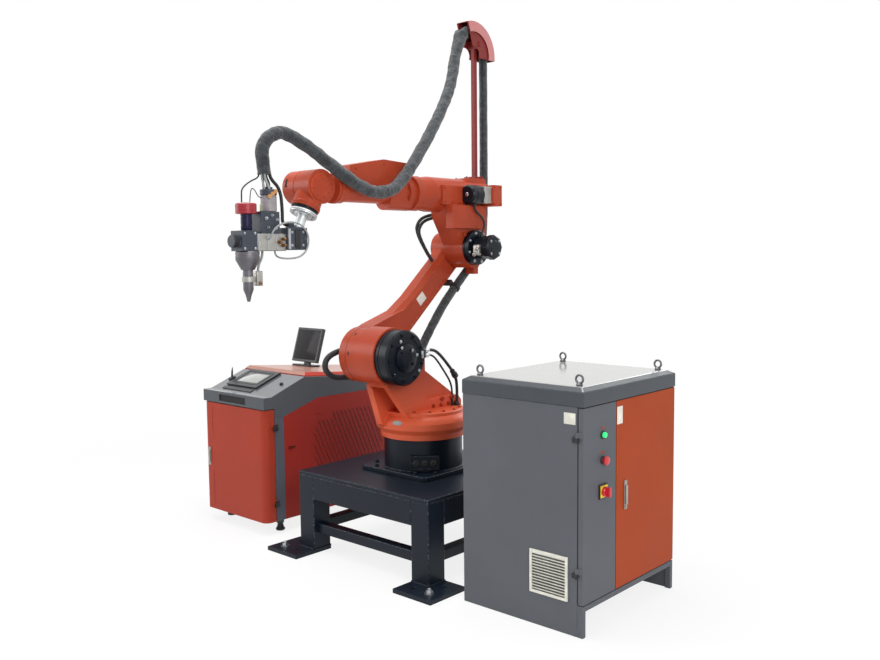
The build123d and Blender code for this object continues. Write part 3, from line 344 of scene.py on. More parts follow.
finishes = {
    "robot_orange": cast_paint("robot_orange", srgb(176, 67, 39), worn_and_highlight_tone=srgb(224, 132, 100)),
    "table_paint": cast_paint("table_paint", srgb(20, 29, 40), 0.40, srgb(116, 128, 142), 0.0004, 0.12),
    "motor_black": cast_paint("motor_black", srgb(13, 20, 29), 0.34, srgb(58, 66, 76), 0.0005),
    "cover_black": moulded("cover_black", srgb(28, 28, 30), 0.5),
    "bright_steel": turned_metal("bright_steel", srgb(196, 198, 202), 0.30),
    "alloy": turned_metal("alloy", srgb(190, 192, 196), 0.30),
    "slate_paint": cast_paint("slate_paint", srgb(70, 76, 86), 0.40, srgb(150, 155, 162), 0.0003, 0.2),
    "cabinet_grey": powder_coat("cabinet_grey", srgb(94, 97, 103)),
    "door_orange": powder_coat("door_orange", srgb(168, 64, 16)),
    "laser_orange": powder_coat("laser_orange", srgb(165, 58, 39)),
    "laser_red": powder_coat("laser_red", srgb(156, 44, 36)),
    "laser_grey": powder_coat("laser_grey", srgb(88, 92, 102)),
    "post_red": cast_paint("post_red", srgb(134, 42, 36), 0.38, srgb(205, 130, 120), 0.0003),
    "sheath": woven_sheath("sheath", srgb(61, 65, 69)),
    "cable_rubber": striped_cable("cable_rubber", srgb(22, 22, 24)),
    "cap_red": moulded("cap_red", srgb(158, 24, 40), 0.40, 300.0, 0.1),
    "camera_blue": cast_paint("camera_blue", srgb(30, 28, 66), 0.32, srgb(90, 90, 130), 0.0002),
    "cream": moulded("cream", srgb(232, 226, 214), 0.45),
    "chrome": turned_metal("chrome", srgb(226, 227, 230), 0.10, (3.0, 60.0, 60.0)),
    "button_green": lit_button("button_green", srgb(30, 210, 110), 1.1),
    "button_red": moulded("button_red", srgb(200, 26, 40), 0.30, 300.0, 0.5),
    "grille_cream": moulded("grille_cream", srgb(222, 220, 208), 0.48),
    "screen_black": moulded("screen_black", srgb(34, 35, 38), 0.36, 900.0, 0.15),
}
# lid, deck, console and arch paints: the lighter lit tone on marked faces is a painted highlight
lid_paint = powder_coat("lid_paint", srgb(76, 81, 86), 0.4, lit=srgb(150, 151, 148))
deck_paint = powder_coat("deck_paint", srgb(184, 58, 44), 0.4, lit=srgb(176, 130, 116), gloss=0.3)
console_paint = powder_coat("console_paint", srgb(84, 89, 95), 0.4, lit=srgb(92, 96, 100))
arch_paint = cast_paint(
    "arch_paint", srgb(126, 39, 34), 0.36, srgb(205, 130, 120), 0.0003, lit=srgb(196, 120, 118)
)
dull_steel = turned_metal("dull_steel", srgb(118, 115, 120), 0.44)
matt_alloy = turned_metal("matt_alloy", srgb(182, 180, 174), 0.46)
pale_ring = turned_metal("pale_ring", srgb(222, 225, 226), 0.5)
pale_cable = moulded("pale_cable", srgb(150, 154, 154), 0.45)
column_grey = moulded("column_grey", srgb(152, 147, 149), 0.4)
# robot paint with painted bounce light from the floor: lighter below about 0.84 m
bounce_lit_orange = cast_paint("bounce_lit_orange", srgb(176, 67, 39), worn_and_highlight_tone=srgb(224, 132, 100), low=srgb(228, 100, 66))
# dark orange for seams; on the side pull it is painted shade
seam_and_painted_shade_orange = cast_paint("seam_and_painted_shade_orange", srgb(96, 26, 16), 0.5)
brass = turned_metal("brass", srgb(142, 104, 70), 0.42)
switch_yellow = moulded("switch_yellow", srgb(226, 190, 44), 0.4)
fitting_lime = moulded("fitting_lime", srgb(168, 190, 40), 0.35)
# both screens carry a painted diagonal reflection in their colour
touch_glass = glass_screen("touch_glass", srgb(150, 153, 150), srgb(214, 216, 212), 1.80, 1.92)
monitor_glass = glass_screen("monitor_glass", srgb(50, 49, 51), srgb(66, 65, 67), 2.19, 2.195, 0.0)
# black for seals and gaskets; also painted shade on the slit slabs
gap_black_and_painted_shade = moulded("gap_black_and_painted_shade", srgb(14, 14, 16), 0.7)


# Modelling
def clear():
    if bpy.context.object is not None and bpy.context.object.mode != "OBJECT":
        bpy.ops.object.mode_set(mode="OBJECT")
    bpy.ops.object.select_all(action="DESELECT")


def only(piece):
    clear()
    piece.select_set(True)
    bpy.context.view_layer.objects.active = piece
    return piece


def settle(name):
    """Ends edit mode, puts the piece's place into its mesh, closes its normals and names it."""
    bpy.ops.mesh.select_all(action="SELECT")
    bpy.ops.mesh.remove_doubles(threshold=0.00001)
    bpy.ops.mesh.normals_make_consistent(inside=False)
    bpy.ops.object.mode_set(mode="OBJECT")
    bpy.ops.object.transform_apply(location=True, rotation=True, scale=True)
    piece = bpy.context.object
    piece.name = name
    piece.data.name = name
    return piece


def smooth(piece, angle=32.0):
    only(piece)
    bpy.ops.object.shade_smooth_by_angle(angle=radians(angle))
    return piece


bevel_angle = 30.0


def keep(piece, modifier):
    only(piece)
    bpy.ops.object.modifier_apply(modifier=modifier.name)


def bevelled(piece, width, segments=2):
    """Rounds the piece's sharp edges and marks them for the finish's scuffed edges, which in cast paint are
    also a painted edge highlight.
    """
    smooth(piece, bevel_angle)
    mesh = piece.data
    mesh.materials.clear()
    for slot_material in (finishes["alloy"], finishes["cream"]):
        mesh.materials.append(slot_material)
    bevel = piece.modifiers.new("rounded", "BEVEL")
    bevel.width = width
    bevel.segments = segments
    bevel.limit_method = "ANGLE"
    bevel.angle_limit = radians(bevel_angle)
    bevel.use_clamp_overlap = True
    bevel.material = 1
    keep(piece, bevel)
    edge = mesh.attributes.new("edge", "FLOAT", "FACE")
    for face, mark in zip(mesh.polygons, edge.data):
        mark.value = float(face.material_index == 1)
        face.material_index = 0
        face.use_smooth = True
    mesh.materials.clear()
    shading = piece.modifiers.new("shading", "WEIGHTED_NORMAL")
    shading.keep_sharp = True
    shading.weight = 70
    keep(piece, shading)
    return piece


def faces_where(piece, test):
    """In edit mode, selects the faces whose middle and normal pass a test."""
    bpy.ops.mesh.select_all(action="DESELECT")
    bpy.ops.object.mode_set(mode="OBJECT")
    for face in piece.data.polygons:
        face.select = bool(test(face.center, face.normal, face.area))
    bpy.ops.object.mode_set(mode="EDIT")
    bpy.ops.mesh.select_mode(type="FACE")


def turned(name, base, way, radius, steps, sides=40, finish_edges=True):
    """A turned piece: a disc pushed along its axis, with each step's travel and new radius."""
    clear()
    way = Vector(way).normalized()
    turn = way.to_track_quat("Z", "Y").to_euler()
    bpy.ops.mesh.primitive_circle_add(
        vertices=sides, radius=radius, fill_type="NGON", location=base, rotation=turn
    )
    bpy.ops.object.mode_set(mode="EDIT")
    bpy.ops.mesh.select_all(action="SELECT")
    middle = Vector(base)
    for travel, wide in steps:
        bpy.ops.mesh.extrude_region_move(TRANSFORM_OT_translate={"value": way * travel})
        middle = middle + way * travel
        if wide != radius:
            size = max(wide, 0.00002) / radius
            bpy.ops.transform.resize(value=(size, size, size), center_override=middle)
        radius = max(wide, 0.00002)
    piece = settle(name)
    return smooth(piece, 35.0) if finish_edges else piece


def slab(name, low, high, round_edge=0.002, segments=2):
    """A block between two corners with rounded edges."""
    clear()
    low, high = Vector(low), Vector(high)
    bpy.ops.mesh.primitive_cube_add(size=1.0, location=(low + high) / 2, scale=high - low)
    bpy.ops.object.transform_apply(location=True, rotation=True, scale=True)
    bpy.ops.object.mode_set(mode="EDIT")
    bpy.ops.mesh.select_all(action="SELECT")
    bpy.ops.mesh.bevel(offset=round_edge, segments=segments, affect="EDGES")
    return smooth(settle(name), 40.0)


def framed(name, low, high, normal, rim, sink, round_edge=0.0015):
    """A block whose face towards normal has a raised rim around a sunk panel."""
    clear()
    low, high = Vector(low), Vector(high)
    bpy.ops.mesh.primitive_cube_add(size=1.0, location=(low + high) / 2, scale=high - low)
    bpy.ops.object.transform_apply(location=True, rotation=True, scale=True)
    piece = bpy.context.object
    bpy.ops.object.mode_set(mode="EDIT")
    normal = Vector(normal)
    faces_where(piece, lambda middle, way, area: way.dot(normal) > 0.9)
    bpy.ops.mesh.inset(thickness=rim, depth=0.0)
    bpy.ops.mesh.extrude_region_move(TRANSFORM_OT_translate={"value": normal * -sink})
    return bevelled(settle(name), round_edge)


def outline(name, corners, push, round_edge=0.0015, segments=2):
    """A plate from its corners in order, pushed out by a vector."""
    clear()
    corners = [Vector(c) for c in corners]
    bpy.ops.mesh.primitive_circle_add(vertices=len(corners), radius=0.01, fill_type="NGON")
    piece = bpy.context.object
    for vertex, corner in zip(piece.data.vertices, corners):
        vertex.co = corner
    bpy.ops.object.mode_set(mode="EDIT")
    bpy.ops.mesh.select_all(action="SELECT")
    bpy.ops.mesh.extrude_region_move(TRANSFORM_OT_translate={"value": Vector(push)})
    return bevelled(settle(name), round_edge, segments)


def placed(piece, name, matrix):
    """A copy of a piece with its own mesh, moved by a matrix."""
    copy = bpy.data.objects.new(name, piece.data.copy())
    copy.data.transform(matrix)
    bpy.context.scene.collection.objects.link(copy)
    return copy


def gathered(name, pieces):
    """Several pieces made one mesh."""
    clear()
    for piece in pieces:
        piece.select_set(True)
    bpy.context.view_layer.objects.active = pieces[0]
    if len(pieces) > 1:
        bpy.ops.object.join()
    pieces[0].name = name
    pieces[0].data.name = name
    return pieces[0]


def repeated(name, piece, matrices):
    """Copies of one modelled piece at several places, and the first one removed."""
    copies = [placed(piece, name, m) for m in matrices]
    bpy.data.objects.remove(piece)
    return gathered(name, copies)


def dressed(piece, body, slot, finish=None, stands_for=()):
    """Gives a piece its finish, the body that it moves with and the CAD nodes that it stands for."""
    piece.data.materials.clear()
    piece.data.materials.append(finish or finishes[slot])
    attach(piece, body)
    if stands_for:
        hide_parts(*stands_for)
    return piece


slot_of = {entry["node"]: entry["material_slot"] for entry in frame["record"]["subparts"]}


def own_mesh(node, name):
    """A merged copy of a CAD node's mesh with its flat faces joined."""
    source = frame["nodes"][node]
    piece = bpy.data.objects.new(name, source.data.copy())
    bpy.context.scene.collection.objects.link(piece)
    only(piece)
    bpy.ops.object.mode_set(mode="EDIT")
    bpy.ops.mesh.select_all(action="SELECT")
    bpy.ops.mesh.remove_doubles(threshold=0.00002)
    bpy.ops.mesh.dissolve_limited(angle_limit=radians(1.0))
    bpy.ops.mesh.select_all(action="SELECT")
    bpy.ops.mesh.normals_make_consistent(inside=False)
    bpy.ops.object.mode_set(mode="OBJECT")
    return piece


def soften(node, width, segments=2, shape=None, finish=None, painted_light_where=None):
    """A CAD node's form with rounded edges, shaped further where asked, standing for the node. Faces that
    pass the optional light test are marked for a painted highlight.
    """
    piece = own_mesh(node, node + "_form")
    if shape is not None:
        shape(piece)
    bevelled(piece, width, segments)
    # mark faces for a painted highlight
    if painted_light_where is not None:
        painted_light = piece.data.attributes.new("painted_light", "FLOAT", "FACE")
        for face, mark in zip(piece.data.polygons, painted_light.data):
            mark.value = float(painted_light_where(face.center, face.normal))
    return dressed(piece, frame["nodes"][node]["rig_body"], slot_of[node], finish, (node,))


def facing(base, way):
    """A matrix that stands a piece modelled along Z on a point, along a direction."""
    turn = Vector(way).normalized().to_track_quat("Z", "Y").to_matrix().to_4x4()
    return Matrix.Translation(Vector(base)) @ turn


def cap_screw(radius):
    """A socket-head screw on a washer."""
    height = radius * 1.1
    washer = turned(
        "washer", (0, 0, 0), Z, radius * 1.55, [(radius * 0.22, radius * 1.55), (0, radius * 0.9)], 20
    )
    head = turned(
        "head",
        (0, 0, 0),
        Z,
        radius,
        [
            (height * 0.85, radius),
            (height * 0.15, radius * 0.86),
            (0, radius * 0.52),
            (-height * 0.5, radius * 0.48),
        ],
        16,
    )
    return gathered("cap_screw", [washer, head])


def hex_bolt(radius, height):
    """A hexagon head on a washer, with the end of its stud."""
    washer = turned(
        "washer", (0, 0, 0), Z, radius * 1.5, [(radius * 0.2, radius * 1.5), (0, radius * 0.9)], 24
    )
    head = turned(
        "head",
        (0, 0, 0),
        Z,
        radius,
        [(height * 0.8, radius), (height * 0.2, radius * 0.88), (0, radius * 0.4)],
        6,
    )
    stud = turned(
        "stud",
        (0, 0, 0),
        Z,
        radius * 0.5,
        [(height * 1.5, radius * 0.5), (height * 0.12, radius * 0.38)],
        16,
    )
    return gathered("hex_bolt", [washer, head, stud])


def sunk(rim, depth, way, least_area, straight=0.95):
    """A shaper for soften: the large faces that look one way get a rim around a sunk panel."""

    def shape(piece):
        only(piece)
        bpy.ops.object.mode_set(mode="EDIT")
        faces_where(piece, lambda middle, normal, area: normal.dot(way) > straight and area > least_area)
        bpy.ops.mesh.inset(thickness=rim, depth=0.0)
        bpy.ops.mesh.extrude_region_move(TRANSFORM_OT_translate={"value": way * -depth})
        bpy.ops.object.mode_set(mode="OBJECT")

    return shape


def ring_places(middle, way, radius, count, start=0.0):
    """Matrices for pieces standing on a circle about an axis."""
    base = facing(middle, way)
    return [
        base @ Matrix.Translation((radius * cos(a), radius * sin(a), 0))
        for a in (start + 2 * pi * i / count for i in range(count))
    ]


def screws(name, matrices, radius, body, slot="bright_steel"):
    return dressed(repeated(name, cap_screw(radius), matrices), body, slot)


def metres(points):
    return [Vector(p) / 1000 for p in points]


def tube(name, points, radius, sides=20, rings=14, shape=None):
    """A round hose on one smooth spline. Each point keeps its straightened place for the finish."""
    clear()
    line = bpy.data.curves.new(name, "CURVE")
    line.dimensions = "3D"
    line.resolution_u = rings
    spline = line.splines.new("NURBS")
    spline.points.add(len(points) - 1)
    for point, place in zip(spline.points, points):
        point.co = (*place, 1.0)
    spline.order_u = 3
    spline.use_endpoint_u = True
    piece = bpy.data.objects.new(name, line)
    bpy.context.scene.collection.objects.link(piece)
    bpy.context.view_layer.update()
    centre = [v.co.copy() for v in bpy.data.meshes.new_from_object(piece).vertices]
    line.bevel_depth = radius
    line.bevel_resolution = max((sides - 4) // 2, 0)
    line.use_fill_caps = True
    only(piece)
    bpy.ops.object.convert(target="MESH")
    piece = bpy.context.object
    mesh = piece.data
    around = len(mesh.vertices) // len(centre)
    along = [0.0]
    for before, here in zip(centre, centre[1:]):
        along.append(along[-1] + (here - before).length)
    laid = mesh.attributes.new("laid", "FLOAT_VECTOR", "POINT")
    for index, vertex in enumerate(mesh.vertices):
        if index % around == 0:
            circle = mesh.vertices[index : index + around]
            middle = sum((v.co for v in circle), Vector()) / len(circle)
            ring = min(range(len(centre)), key=lambda r: (centre[r] - middle).length)
        angle = 2 * pi * (index % around) / around
        straight = Vector((radius * cos(angle), radius * sin(angle), along[ring]))
        laid.data[index].vector = straight
        if shape is not None:
            out = vertex.co - centre[ring]
            vertex.co = centre[ring] + out * shape(straight, along[ring], along[-1])
    for face in mesh.polygons:
        face.use_smooth = len(face.vertices) == 4
    return piece


def ribbed(amount, ribs=900):
    """How a conduit's radius changes: fine rings along it."""
    return lambda straight, along, length: 1 + amount * sin(along * ribs)


def puckered(amount, flare=0.0, lip=0.0):
    """How a sleeve's radius changes: creases across it, a flared end and turned lips."""

    def size(straight, along, length):
        crease = noise.noise(Vector((straight.x * 26, straight.y * 26, straight.z * 24)))
        fine = noise.noise(Vector((straight.x * 60, straight.y * 60, straight.z * 75)))
        grown = 1.0 + amount * (crease + 0.4 * fine)
        if flare:
            grown += flare * max(0.0, 1 - along / 0.12)
        if lip and (along < 0.006 or along > length - 0.006):
            grown += lip
        return grown

    return size


# Measures shared by the pieces, in metres, as the source has them
shoulder = Vector((0, -0.325, 1.130))
lean = radians(48.8)
elbow = shoulder + 0.879 * Vector((0, sin(lean), cos(lean)))
forearm_z = elbow.z + 0.300
wrist = Vector((0, -0.775, forearm_z))
tilt = radians(25.0)
tool_way = Vector((0, -sin(tilt), -cos(tilt)))


arch_middle = Vector((0, 0.430, 2.835))
hose_side = -0.014
hose_rear = 0.150
nozzle_y = -1.172
collimator_y = -1.044
camera_y = -1.174
on_door = 1.3921
controls_y = -0.325
start_z, stop_z, switch_z = 0.878, 0.765, 0.626
laser_side = -0.8253


def on_arm(rear, along, x):
    """A point in the leaned arm's own measures: behind its centre line and along it."""
    return Vector(
        (
            x,
            shoulder.y + along * sin(lean) + rear * cos(lean),
            shoulder.z + along * cos(lean) - rear * sin(lean),
        )
    )


arm_turn = Matrix.Rotation(-lean, 4, "X")

# Table
soften("table_top", 0.004)
soften("table_legs", 0.004)
soften("table_rails", 0.004)
soften("foot_plates", 0.003)
corners = [(sx, sy) for sx in (-1, 1) for sy in (-1, 1)]
dressed(
    repeated(
        "anchor_nuts",
        hex_bolt(0.0172, 0.017),
        [Matrix.Translation((0.562 * a, 0.562 * b, 0.0222)) for a, b in corners],
    ),
    "cell",
    "bright_steel",
    stands_for=("anchor_bolts",),
)


# A lumpy weld bead on each side of each leg
leg_inner, leg_outer, weld_z = 0.380, 0.500, 0.0225
leg_ring = [
    Vector((leg_inner, leg_inner, weld_z)),
    Vector((leg_outer, leg_inner, weld_z)),
    Vector((leg_outer, leg_outer, weld_z)),
    Vector((leg_inner, leg_outer, weld_z)),
]
for leg, (a, b) in enumerate(corners):
    around_leg = [Vector((spot.x * a, spot.y * b, spot.z)) for spot in leg_ring]
    for number, (start, end) in enumerate(zip(around_leg, around_leg[1:] + around_leg[:1])):
        path = [start, start.lerp(end, 0.5), end]
        dressed(tube(f"foot_weld_{leg}_{number}", path, 0.005, 10, 30, ribbed(0.12)), "cell", "table_paint")

# Robot base with its flange bolts and connector cover
soften("robot_base", 0.004, segments=3)
flange_spots = [(a * x, b * y) for a, b in corners for x, y in ((0.224, 0.150), (0.150, 0.224))]
screws(
    "base_flange_screws",
    [Matrix.Translation((x, y, 0.485)) for x, y in flange_spots],
    0.011,
    "cell",
    "table_paint",
)


out = Vector((1, -1, 0)).normalized()
soften("connector_panel", 0.005, segments=3, shape=sunk(0.010, 0.004, out, 0.002, 0.98))
side = Vector((1, 1, 0)).normalized()
cover_middle = out * 0.236 + Vector((0, 0, 0.537))
sockets = []
for step in (-0.048, 0.0, 0.048):
    sockets.append(
        turned(
            "socket",
            cover_middle + side * step,
            out,
            0.019,
            [(0.003, 0.019), (0, 0.015), (0.010, 0.015), (0.002, 0.013), (0, 0.010), (-0.008, 0.009)],
            28,
        )
    )
dressed(gathered("base_sockets", sockets), "cell", "cover_black")
screws(
    "connector_cover_screws",
    [facing(cover_middle + out * 0.004 + side * a * 0.073 + Z * b * 0.034, out) for a, b in corners],
    0.0035,
    "cell",
    "table_paint",
)

# Turntable
# the turntable's paint carries painted bounce light near the floor
soften("turntable", 0.007, segments=3, finish=bounce_lit_orange)
screws(
    "turntable_bolts",
    ring_places((0, 0, 0.8123), Z, 0.212, 16, 0.15)[:11],
    0.007,
    "turntable",
    "robot_orange",
)
screws(
    "web_bolts",
    [facing((0.1, -0.02 + 0.062 * i, 0.828), X) for i in range(4)],
    0.0075,
    "turntable",
    "robot_orange",
)
oval = turned("bare_plate", (0, 0, 0), Z, 0.0145, [(0.0012, 0.0145), (0.0005, 0.0138)], 32)
deck_slope = Vector((0.17, -0.87, 0.46)).normalized()
oval.data.transform(facing((0.0500, -0.2560, 0.7586), deck_slope) @ Matrix.Diagonal((2.1, 0.9, 1, 1)))
dressed(oval, "turntable", "alloy", pale_cable)
lugs = [
    turned("lug", (0.102, y, z), X, 0.014, [(0.006, 0.014), (0.004, 0.010), (0, 0.006), (-0.006, 0.005)], 20)
    for y, z in ((0.05, 0.862), (0.13, 0.862))
]
dressed(gathered("jack_points", lugs), "turntable", "robot_orange")

# Shoulder motor: a stepped drum with bolts, a cap and its two plugs
drum = turned(
    "shoulder_drum",
    (0.1002, shoulder.y, shoulder.z),
    X,
    0.147,
    [
        (0.026, 0.147), (0, 0.1435), (0.005, 0.1435), (0, 0.147), (0.050, 0.147), (0.010, 0.137),
        (0.0, 0.110), (-0.004, 0.107), (0.0, 0.076), (0.010, 0.074), (0.003, 0.068), (0, 0.030),
        (-0.002, 0.029),
    ],
    96,
)
dressed(drum, "turntable", "motor_black", stands_for=("shoulder_motor",))
face = Vector((0.1912, shoulder.y, shoulder.z))
screws("shoulder_drum_bolts", ring_places(face, X, 0.123, 9, 0.4), 0.0075, "turntable", "motor_black")
screws(
    "shoulder_cap_bolts",
    ring_places(face + X * 0.009, X, 0.052, 4, 0.9),
    0.006,
    "turntable",
    "motor_black",
)
bright_spots = (
    (-0.039, 0.091), (-0.044, 0.059), (0.034, 0.040), (0.069, 0.013), (-0.089, -0.080), (0.098, -0.074)
)
screws(
    "shoulder_bright_bolts",
    [facing(face + X * (0.013 if y * y + z * z < 0.0058 else 0) + Y * y + Z * z, X) for y, z in bright_spots],
    0.0058,
    "turntable",
)
tab = slab(
    "tab",
    (0.1915, shoulder.y + 0.112, shoulder.z - 0.010),
    (0.1965, shoulder.y + 0.128, shoulder.z + 0.030),
    0.002,
)
dressed(tab, "turntable", "bright_steel")
boot = slab("boot", (0.128, -0.207, 1.114), (0.169, -0.147, 1.166), 0.006, 3)
dressed(boot, "turntable", "cable_rubber", finishes["cover_black"], stands_for=("shoulder_cable",))
plugs = []
for z in (1.126, 1.153):
    plugs.append(
        turned(
            "plug",
            (0.148, -0.150, z),
            Y,
            0.0125,
            [
                (0.006, 0.0125), (0, 0.0105), (0.004, 0.0105), (0, 0.0135), (0.022, 0.0135),
                (0.004, 0.0115), (0.010, 0.009), (0, 0.004),
            ],
            24,
        )
    )
dressed(gathered("shoulder_plugs", plugs), "turntable", "bright_steel")
for name, radius, slot, points in (
    (
        "shoulder_lead",
        0.0085,
        "cable_rubber",
        [
            (148, -112, 1153), (148, -74, 1153), (144, -20, 1128), (134, 60, 1062), (127, 140, 985),
            (124, 156, 905), (124, 152, 812),
        ],
    ),
    (
        "shoulder_signal_lead",
        0.0055,
        "cable_rubber",
        [
            (148, -112, 1126), (148, -84, 1126), (138, -30, 1092), (118, 50, 1020), (106, 118, 950),
            (106, 134, 890), (106, 132, 812),
        ],
    ),
):
    dressed(tube(name, metres(points), radius, 16, 12), "turntable", slot)
coupling = turned(
    "coupling",
    (0.128, 0.108, 1.016),
    Vector((-0.12, 0.70, -0.70)),
    0.015,
    [(0.030, 0.015), (0, 0.018), (0.022, 0.018), (0.004, 0.012)],
    10,
)
dressed(coupling, "turntable", "cover_black")
glands = [
    turned(
        "gland",
        (x, y, 0.8120),
        Z,
        r * 1.9,
        [(0.006, r * 1.9), (0, r * 1.6), (0.010, r * 1.6), (0.006, r * 1.3), (0, r * 1.02)],
        12,
    )
    for x, y, r in ((0.124, 0.152, 0.0085), (0.106, 0.132, 0.0055))
]
dressed(gathered("lead_glands", glands), "turntable", "cover_black")

# Lower arm: the casting with a sunk side panel, its boss bolts, a bare plate and the conduit loop
soften("lower_arm", 0.008, segments=3, shape=sunk(0.017, 0.004, X, 0.03, 0.99))
plate_middle = on_arm(0.024, 0.474, -0.0488)
tag = slab("bare_tag", (-0.0008, -0.030, -0.033), (0.0008, 0.030, 0.033), 0.0004)
tag.data.transform(Matrix.Translation(plate_middle) @ arm_turn)
dressed(tag, "lower_arm", "cream")
left_face = Vector((-0.1703, shoulder.y, shoulder.z))
seam = turned(
    "boss_seam",
    (-0.1190, shoulder.y, shoulder.z),
    X,
    0.150,
    [(0, 0.1524), (0.0026, 0.1524), (0, 0.150)],
    96,
)
dressed(seam, "lower_arm", "robot_orange", seam_and_painted_shade_orange)
# painted shade: black slabs stand for the hollow slots
slots = []
for around in (128.0, 172.0):
    slit = slab("slit", (-0.1000, 0.1495, -0.010), (-0.0905, 0.1532, 0.010), 0.0015)
    slit.data.transform(
        Matrix.Translation((0, shoulder.y, shoulder.z)) @ Matrix.Rotation(radians(around), 4, "X")
    )
    slots.append(slit)
dressed(gathered("boss_slits", slots), "lower_arm", "cover_black", gap_black_and_painted_shade)
cap = turned(
    "boss_cap",
    left_face,
    -X,
    0.118,
    [(0.004, 0.118), (0.003, 0.112), (0, 0.060), (0.003, 0.057), (0, 0.012)],
    72,
)
dressed(cap, "lower_arm", "robot_orange")
screws("boss_cap_bolts", ring_places(left_face - X * 0.004, -X, 0.131, 12, 0.2), 0.0065, "lower_arm")
screws(
    "arm_joint_bolts",
    [facing(on_arm(r, a, -0.0495), X) for r, a in ((0.02, 0.166), (0.052, 0.172), (-0.014, 0.176))],
    0.008,
    "lower_arm",
    "robot_orange",
)
dressed(
    tube(
        "arm_loop_conduit",
        metres(
            [
                (-170, -372, 1158), (-204, -372, 1158), (-216, -450, 1150), (-216, -525, 1120),
                (-216, -540, 1062), (-216, -480, 1008), (-204, -376, 1006), (-170, -376, 1006),
            ]
        ),
        0.016,
        20,
        14,
        ribbed(0.03),
    ),
    "lower_arm",
    "cable_rubber",
    stands_for=("arm_loop",),
)
ends = [
    turned(
        "end",
        (-0.1703, y, z),
        -X,
        0.021,
        [(0.008, 0.021), (0, 0.018), (0.012, 0.018), (0.004, 0.0145), (0, 0.0135)],
        6,
    )
    for y, z in ((-0.372, 1.158), (-0.376, 1.006))
]
dressed(gathered("loop_ends", ends), "lower_arm", "cover_black")
soften("arm_clamp", 0.0012)

# Elbow casting, its bolts and motors
soften("elbow_housing", 0.008, segments=3)
screws(
    "bearing_flange_bolts",
    ring_places((0, -0.0448, forearm_z), Y, 0.0865, 14, 0.1),
    0.0055,
    "elbow",
    "robot_orange",
)
screws(
    "top_cover_bolts",
    [facing((x, y, forearm_z + 0.104), Z) for x in (-0.046, 0.046) for y in (0.356, 0.40, 0.445, 0.488)],
    0.0055,
    "elbow",
    "robot_orange",
)
screws(
    "motor_pad_bolts",
    [
        facing((0.106, y, forearm_z + z), X)
        for y, z in ((0.085, -0.045), (0.085, 0.034), (0.15, -0.045), (0.21, -0.045))
    ],
    0.0055,
    "elbow",
    "robot_orange",
)
screws("pillar_bolts", [facing((0.1, elbow.y - 0.085, elbow.z + 0.075), X)], 0.012, "elbow", "robot_orange")
ring_flange = turned(
    "elbow_motor_flange",
    (0.1002, elbow.y, elbow.z),
    X,
    0.100,
    [(0.012, 0.100), (0, 0.096), (0.005, 0.096), (0, 0.100), (0.018, 0.100), (0.005, 0.094), (0, 0.070)],
    72,
)
can = turned(
    "elbow_motor_can",
    (0.1400, elbow.y + 0.006, elbow.z),
    X,
    0.062,
    [
        (0.014, 0.062), (0, 0.058), (0.006, 0.058), (0, 0.066), (0.050, 0.066), (0, 0.060),
        (0.005, 0.060), (0, 0.0715), (0.034, 0.0715), (0.008, 0.062), (0, 0.040), (0.003, 0.038),
        (0, 0.012),
    ],
    8,
    False,
)
can = bevelled(can, 0.004)
ring_flange.data.attributes.new("edge", "FLOAT", "FACE")
dressed(gathered("elbow_motor_form", [ring_flange, can]), "elbow", "motor_black", stands_for=("elbow_motor",))
screws("elbow_motor_bolts", ring_places((0.1402, elbow.y, elbow.z), X, 0.084, 8, 0.3), 0.0065, "elbow")
screws("elbow_can_bolts", ring_places((0.2572, elbow.y + 0.006, elbow.z), X, 0.050, 4, 0.8), 0.005, "elbow")
silver = slab(
    "silver",
    (0.166, elbow.y - 0.086, elbow.z - 0.044),
    (0.208, elbow.y - 0.052, elbow.z + 0.016),
    0.008,
    3,
)
silver_caps = [
    turned(
        "cap",
        (0.178 + 0.018 * i, elbow.y - 0.080, elbow.z - 0.034 + 0.030 * i),
        Vector((0.3, -1, -0.5)),
        0.011,
        [(0.016, 0.011), (0.003, 0.008)],
        20,
    )
    for i in range(2)
]
dressed(gathered("elbow_plug_block", [silver, *silver_caps]), "elbow", "alloy", matt_alloy)
roll = turned(
    "roll_motor_form",
    (0.140, 0.2352, forearm_z),
    Y,
    0.046,
    [(0.006, 0.052), (0.004, 0.055), (0.022, 0.055), (0, 0.051), (0.004, 0.051), (0, 0.055), (0.0585, 0.055)],
    48,
)
dressed(roll, "elbow", "motor_black", stands_for=("roll_motor",))
dot = turned("dot", (0.140, 0.2352, forearm_z), -Y, 0.012, [(0.002, 0.012), (0.002, 0.009)], 24)
dressed(dot, "elbow", "bright_steel")
soften("roll_motor_block", 0.004, segments=3, shape=sunk(0.012, 0.003, X, 0.002), finish=matt_alloy)
screws(
    "roll_block_bolts",
    [facing((0.188, 0.3645 + a * 0.027, forearm_z + b * 0.041), X) for a, b in corners],
    0.004,
    "elbow",
)
screws(
    "gearbox_bolts",
    [facing((0.202, 0.4375 + a * 0.028, forearm_z - 0.002 + b * 0.048), X) for a, b in corners],
    0.005,
    "elbow",
    "robot_orange",
)
dressed(
    tube(
        "elbow_motor_lead",
        metres(
            [
                (140, 300, 1954), (140, 300, 1920), (150, 368, 1880), (158, 372, 1825),
                (160, 342, 1798), (160, 342, 1777),
            ]
        ),
        0.006,
        14,
        12,
    ),
    "elbow",
    "cable_rubber",
    stands_for=("elbow_cable",),
)
grommets = [
    turned(
        "grommet",
        (0.140, 0.300, forearm_z - 0.053),
        -Z,
        0.012,
        [(0.008, 0.012), (0.006, 0.008), (0, 0.0062)],
        16,
    ),
    turned(
        "grommet",
        (0.160, elbow.y + 0.006, elbow.z + 0.060),
        Z,
        0.012,
        [(0.016, 0.012), (0.007, 0.008), (0, 0.0062)],
        16,
    ),
]
